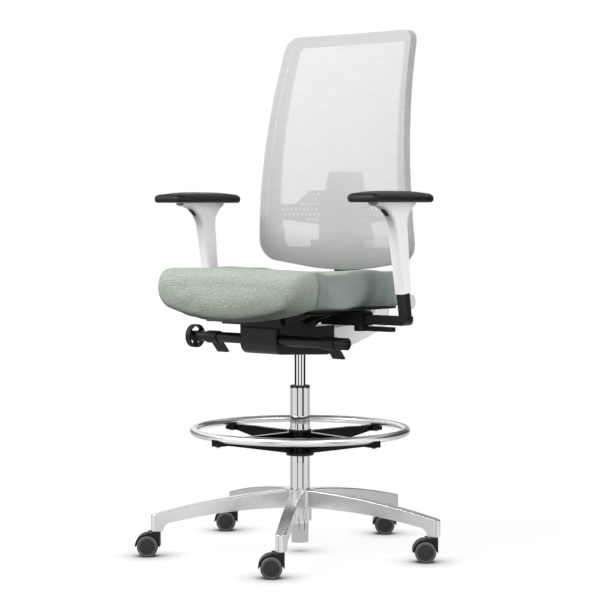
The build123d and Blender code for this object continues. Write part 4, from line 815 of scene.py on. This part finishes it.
def caster_caps(number):
    """A domed cap with a raised rim in the dish of each wheel."""
    low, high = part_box(f"caster_{number}_wheels")
    bm = bmesh.new()
    verts = [bm.verts.new((radius, 0.0, CAP_SEAT + height)) for radius, height in CAP_PROFILE]
    edges = [bm.edges.new(pair) for pair in zip(verts, verts[1:])]
    spin_round(bm, verts + edges, CAP_STEPS)
    other = bmesh.ops.duplicate(bm, geom=bm.verts[:] + bm.edges[:] + bm.faces[:])
    rotate(bm, new_verts(other), math.pi, "X")
    rotate(bm, bm.verts[:], math.pi / 2, "X")
    rotate(bm, bm.verts[:], math.radians(CAMERA_HEADING), "Z")
    bmesh.ops.translate(bm, verts=bm.verts[:], vec=(low + high) / 2)
    caps = piece_from(bm, f"caster_{number}_caps", WHEEL_CAP)
    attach(caps, f"caster_{number}_roller")


# Studio


def seen_directly(owner):
    """1 for camera, mirror and see-through rays, else 0."""
    path = add_node(owner, "ShaderNodeLightPath").outputs
    mirrored = combine(owner, "MAXIMUM", path["Is Camera Ray"], path["Is Glossy Ray"])
    return combine(owner, "MAXIMUM", mirrored, path["Is Transmission Ray"])


def white_world():
    """White to look at, a soft light on the object that grows towards the zenith."""
    world = bpy.data.worlds.new("studio")
    SCENE.world = world
    world.use_nodes = True
    background = world.node_tree.nodes["Background"]
    background.inputs["Color"].default_value = (1.0, 1.0, 1.0, 1.0)
    heading = add_node(world, "ShaderNodeTexCoord").outputs["Generated"]
    height = add_node(world, "ShaderNodeSeparateXYZ", Vector=heading).outputs["Z"]
    sky = between(world, height, AMBIENT_HORIZON, AMBIENT_ZENITH, 0.0, 1.0)
    strength = between(world, seen_directly(world), sky, 1.0, 0.0, 1.0)
    feed(world, background.inputs["Strength"], strength)


def white_floor():
    """A white floor that keeps soft shadows, deepest where something stands on it."""
    bm = bmesh.new()
    bmesh.ops.create_grid(bm, x_segments=1, y_segments=1, size=FLOOR_HALF)
    material = paint("floor", (FLOOR_SHADE, FLOOR_SHADE, FLOOR_SHADE), 1.0, Specular_IOR_Level=0.0)
    seen = seen_directly(material)
    tint(material, between(material, seen, FLOOR_BOUNCE, FLOOR_SHADE, 0.0, 1.0))
    # Painted contact shadow: ambient occlusion dims the floor's glow close to whatever stands on it
    contact = add_node(material, "ShaderNodeAmbientOcclusion", Distance=CONTACT_REACH).outputs["AO"]
    strength = between(material, contact, 0.0, FLOOR_GLOW_STRENGTH, CONTACT_CLOSE, 1.0)
    light = add_node(material, "ShaderNodeEmission", Strength=strength)
    place = add_node(material, "ShaderNodeTexCoord").outputs["Object"]
    distance = add_node(material, "ShaderNodeVectorMath", Vector=place)
    distance.operation = "LENGTH"
    fade = between(material, distance.outputs["Value"], FLOOR_GLOW, 1.0, *FLOOR_FADE)
    share = combine(material, "MULTIPLY", seen, fade)
    mix = add_node(material, "ShaderNodeMixShader")
    for socket, source in zip(mix.inputs, (share, shader_of(material).outputs[0], light.outputs[0])):
        feed(material, socket, source)
    feed(material, surface_of(material), mix.outputs[0])
    piece_from(bm, "floor", material)


def glow(name, shade):
    """A plain grey that shines by itself."""
    material = bpy.data.materials.new(name)
    material.use_nodes = True
    material.node_tree.nodes.remove(shader_of(material))
    light = add_node(material, "ShaderNodeEmission", Color=(shade, shade, shade, 1.0))
    feed(material, surface_of(material), light.outputs[0])
    return material


def mirror_only(card):
    """Hide a card from all but mirrors."""
    card.visible_camera = False
    card.visible_diffuse = False
    card.visible_transmission = False
    card.visible_shadow = False


def dark_card(name, start, end, edges, shade):
    """A curved card between two headings, measured from the camera's."""
    bm = bmesh.new()
    foot, head = (bm.verts.new((0.0, -distance, height)) for distance, height in edges)
    edge = bm.edges.new((foot, head))
    rotate(bm, [foot, head], math.radians(CAMERA_HEADING + start), "Z")
    swing = math.radians(end - start)
    bmesh.ops.spin(bm, geom=[foot, head, edge], angle=swing, steps=CARD_STEPS, axis=UP, cent=ORIGIN)
    mirror_only(piece_from(bm, name, glow(name, shade)))


def dark_disc(name, height, radius, shade):
    """A level disc round the column."""
    bm = bmesh.new()
    bmesh.ops.create_circle(bm, cap_ends=True, segments=DISC_SIDES, radius=radius)
    bmesh.ops.translate(bm, verts=bm.verts[:], vec=(0.0, 0.0, height))
    mirror_only(piece_from(bm, name, glow(name, shade)))


def softbox(name, place, size, power, mirrored):
    lamp = bpy.data.lights.new(name, "AREA")
    lamp.shape = "SQUARE"
    lamp.size = size
    lamp.energy = power
    box = bpy.data.objects.new(name, lamp)
    box.visible_glossy = mirrored
    box.location = place
    box.rotation_euler = (Vector(LIGHT_AIM) - Vector(place)).to_track_quat("-Z", "Y").to_euler()
    SCENE.collection.objects.link(box)


def camera():
    lens = bpy.data.cameras.new("camera")
    lens.lens = CAMERA_LENS
    lens.sensor_width = CAMERA_SENSOR
    eye = bpy.data.objects.new("camera", lens)
    eye.location = CAMERA_PLACE
    eye.rotation_euler = (math.radians(90.0 - CAMERA_DIP), 0.0, math.radians(CAMERA_HEADING))
    SCENE.collection.objects.link(eye)
    SCENE.camera = eye


camera()
white_world()
white_floor()
for softbox_row in SOFTBOXES:
    softbox(*softbox_row)
for card_row in CARDS:
    dark_card(*card_row)
for disc_row in DISCS:
    dark_disc(*disc_row)

finish_frame()
seat_cover()
back_cover()
for arm_name, arm_side in SIDES.items():
    arm_pad(arm_name, arm_side)
foot_ring()
for caster in CASTERS:
    caster_caps(caster)

SCENE.view_settings.view_transform = "Standard"
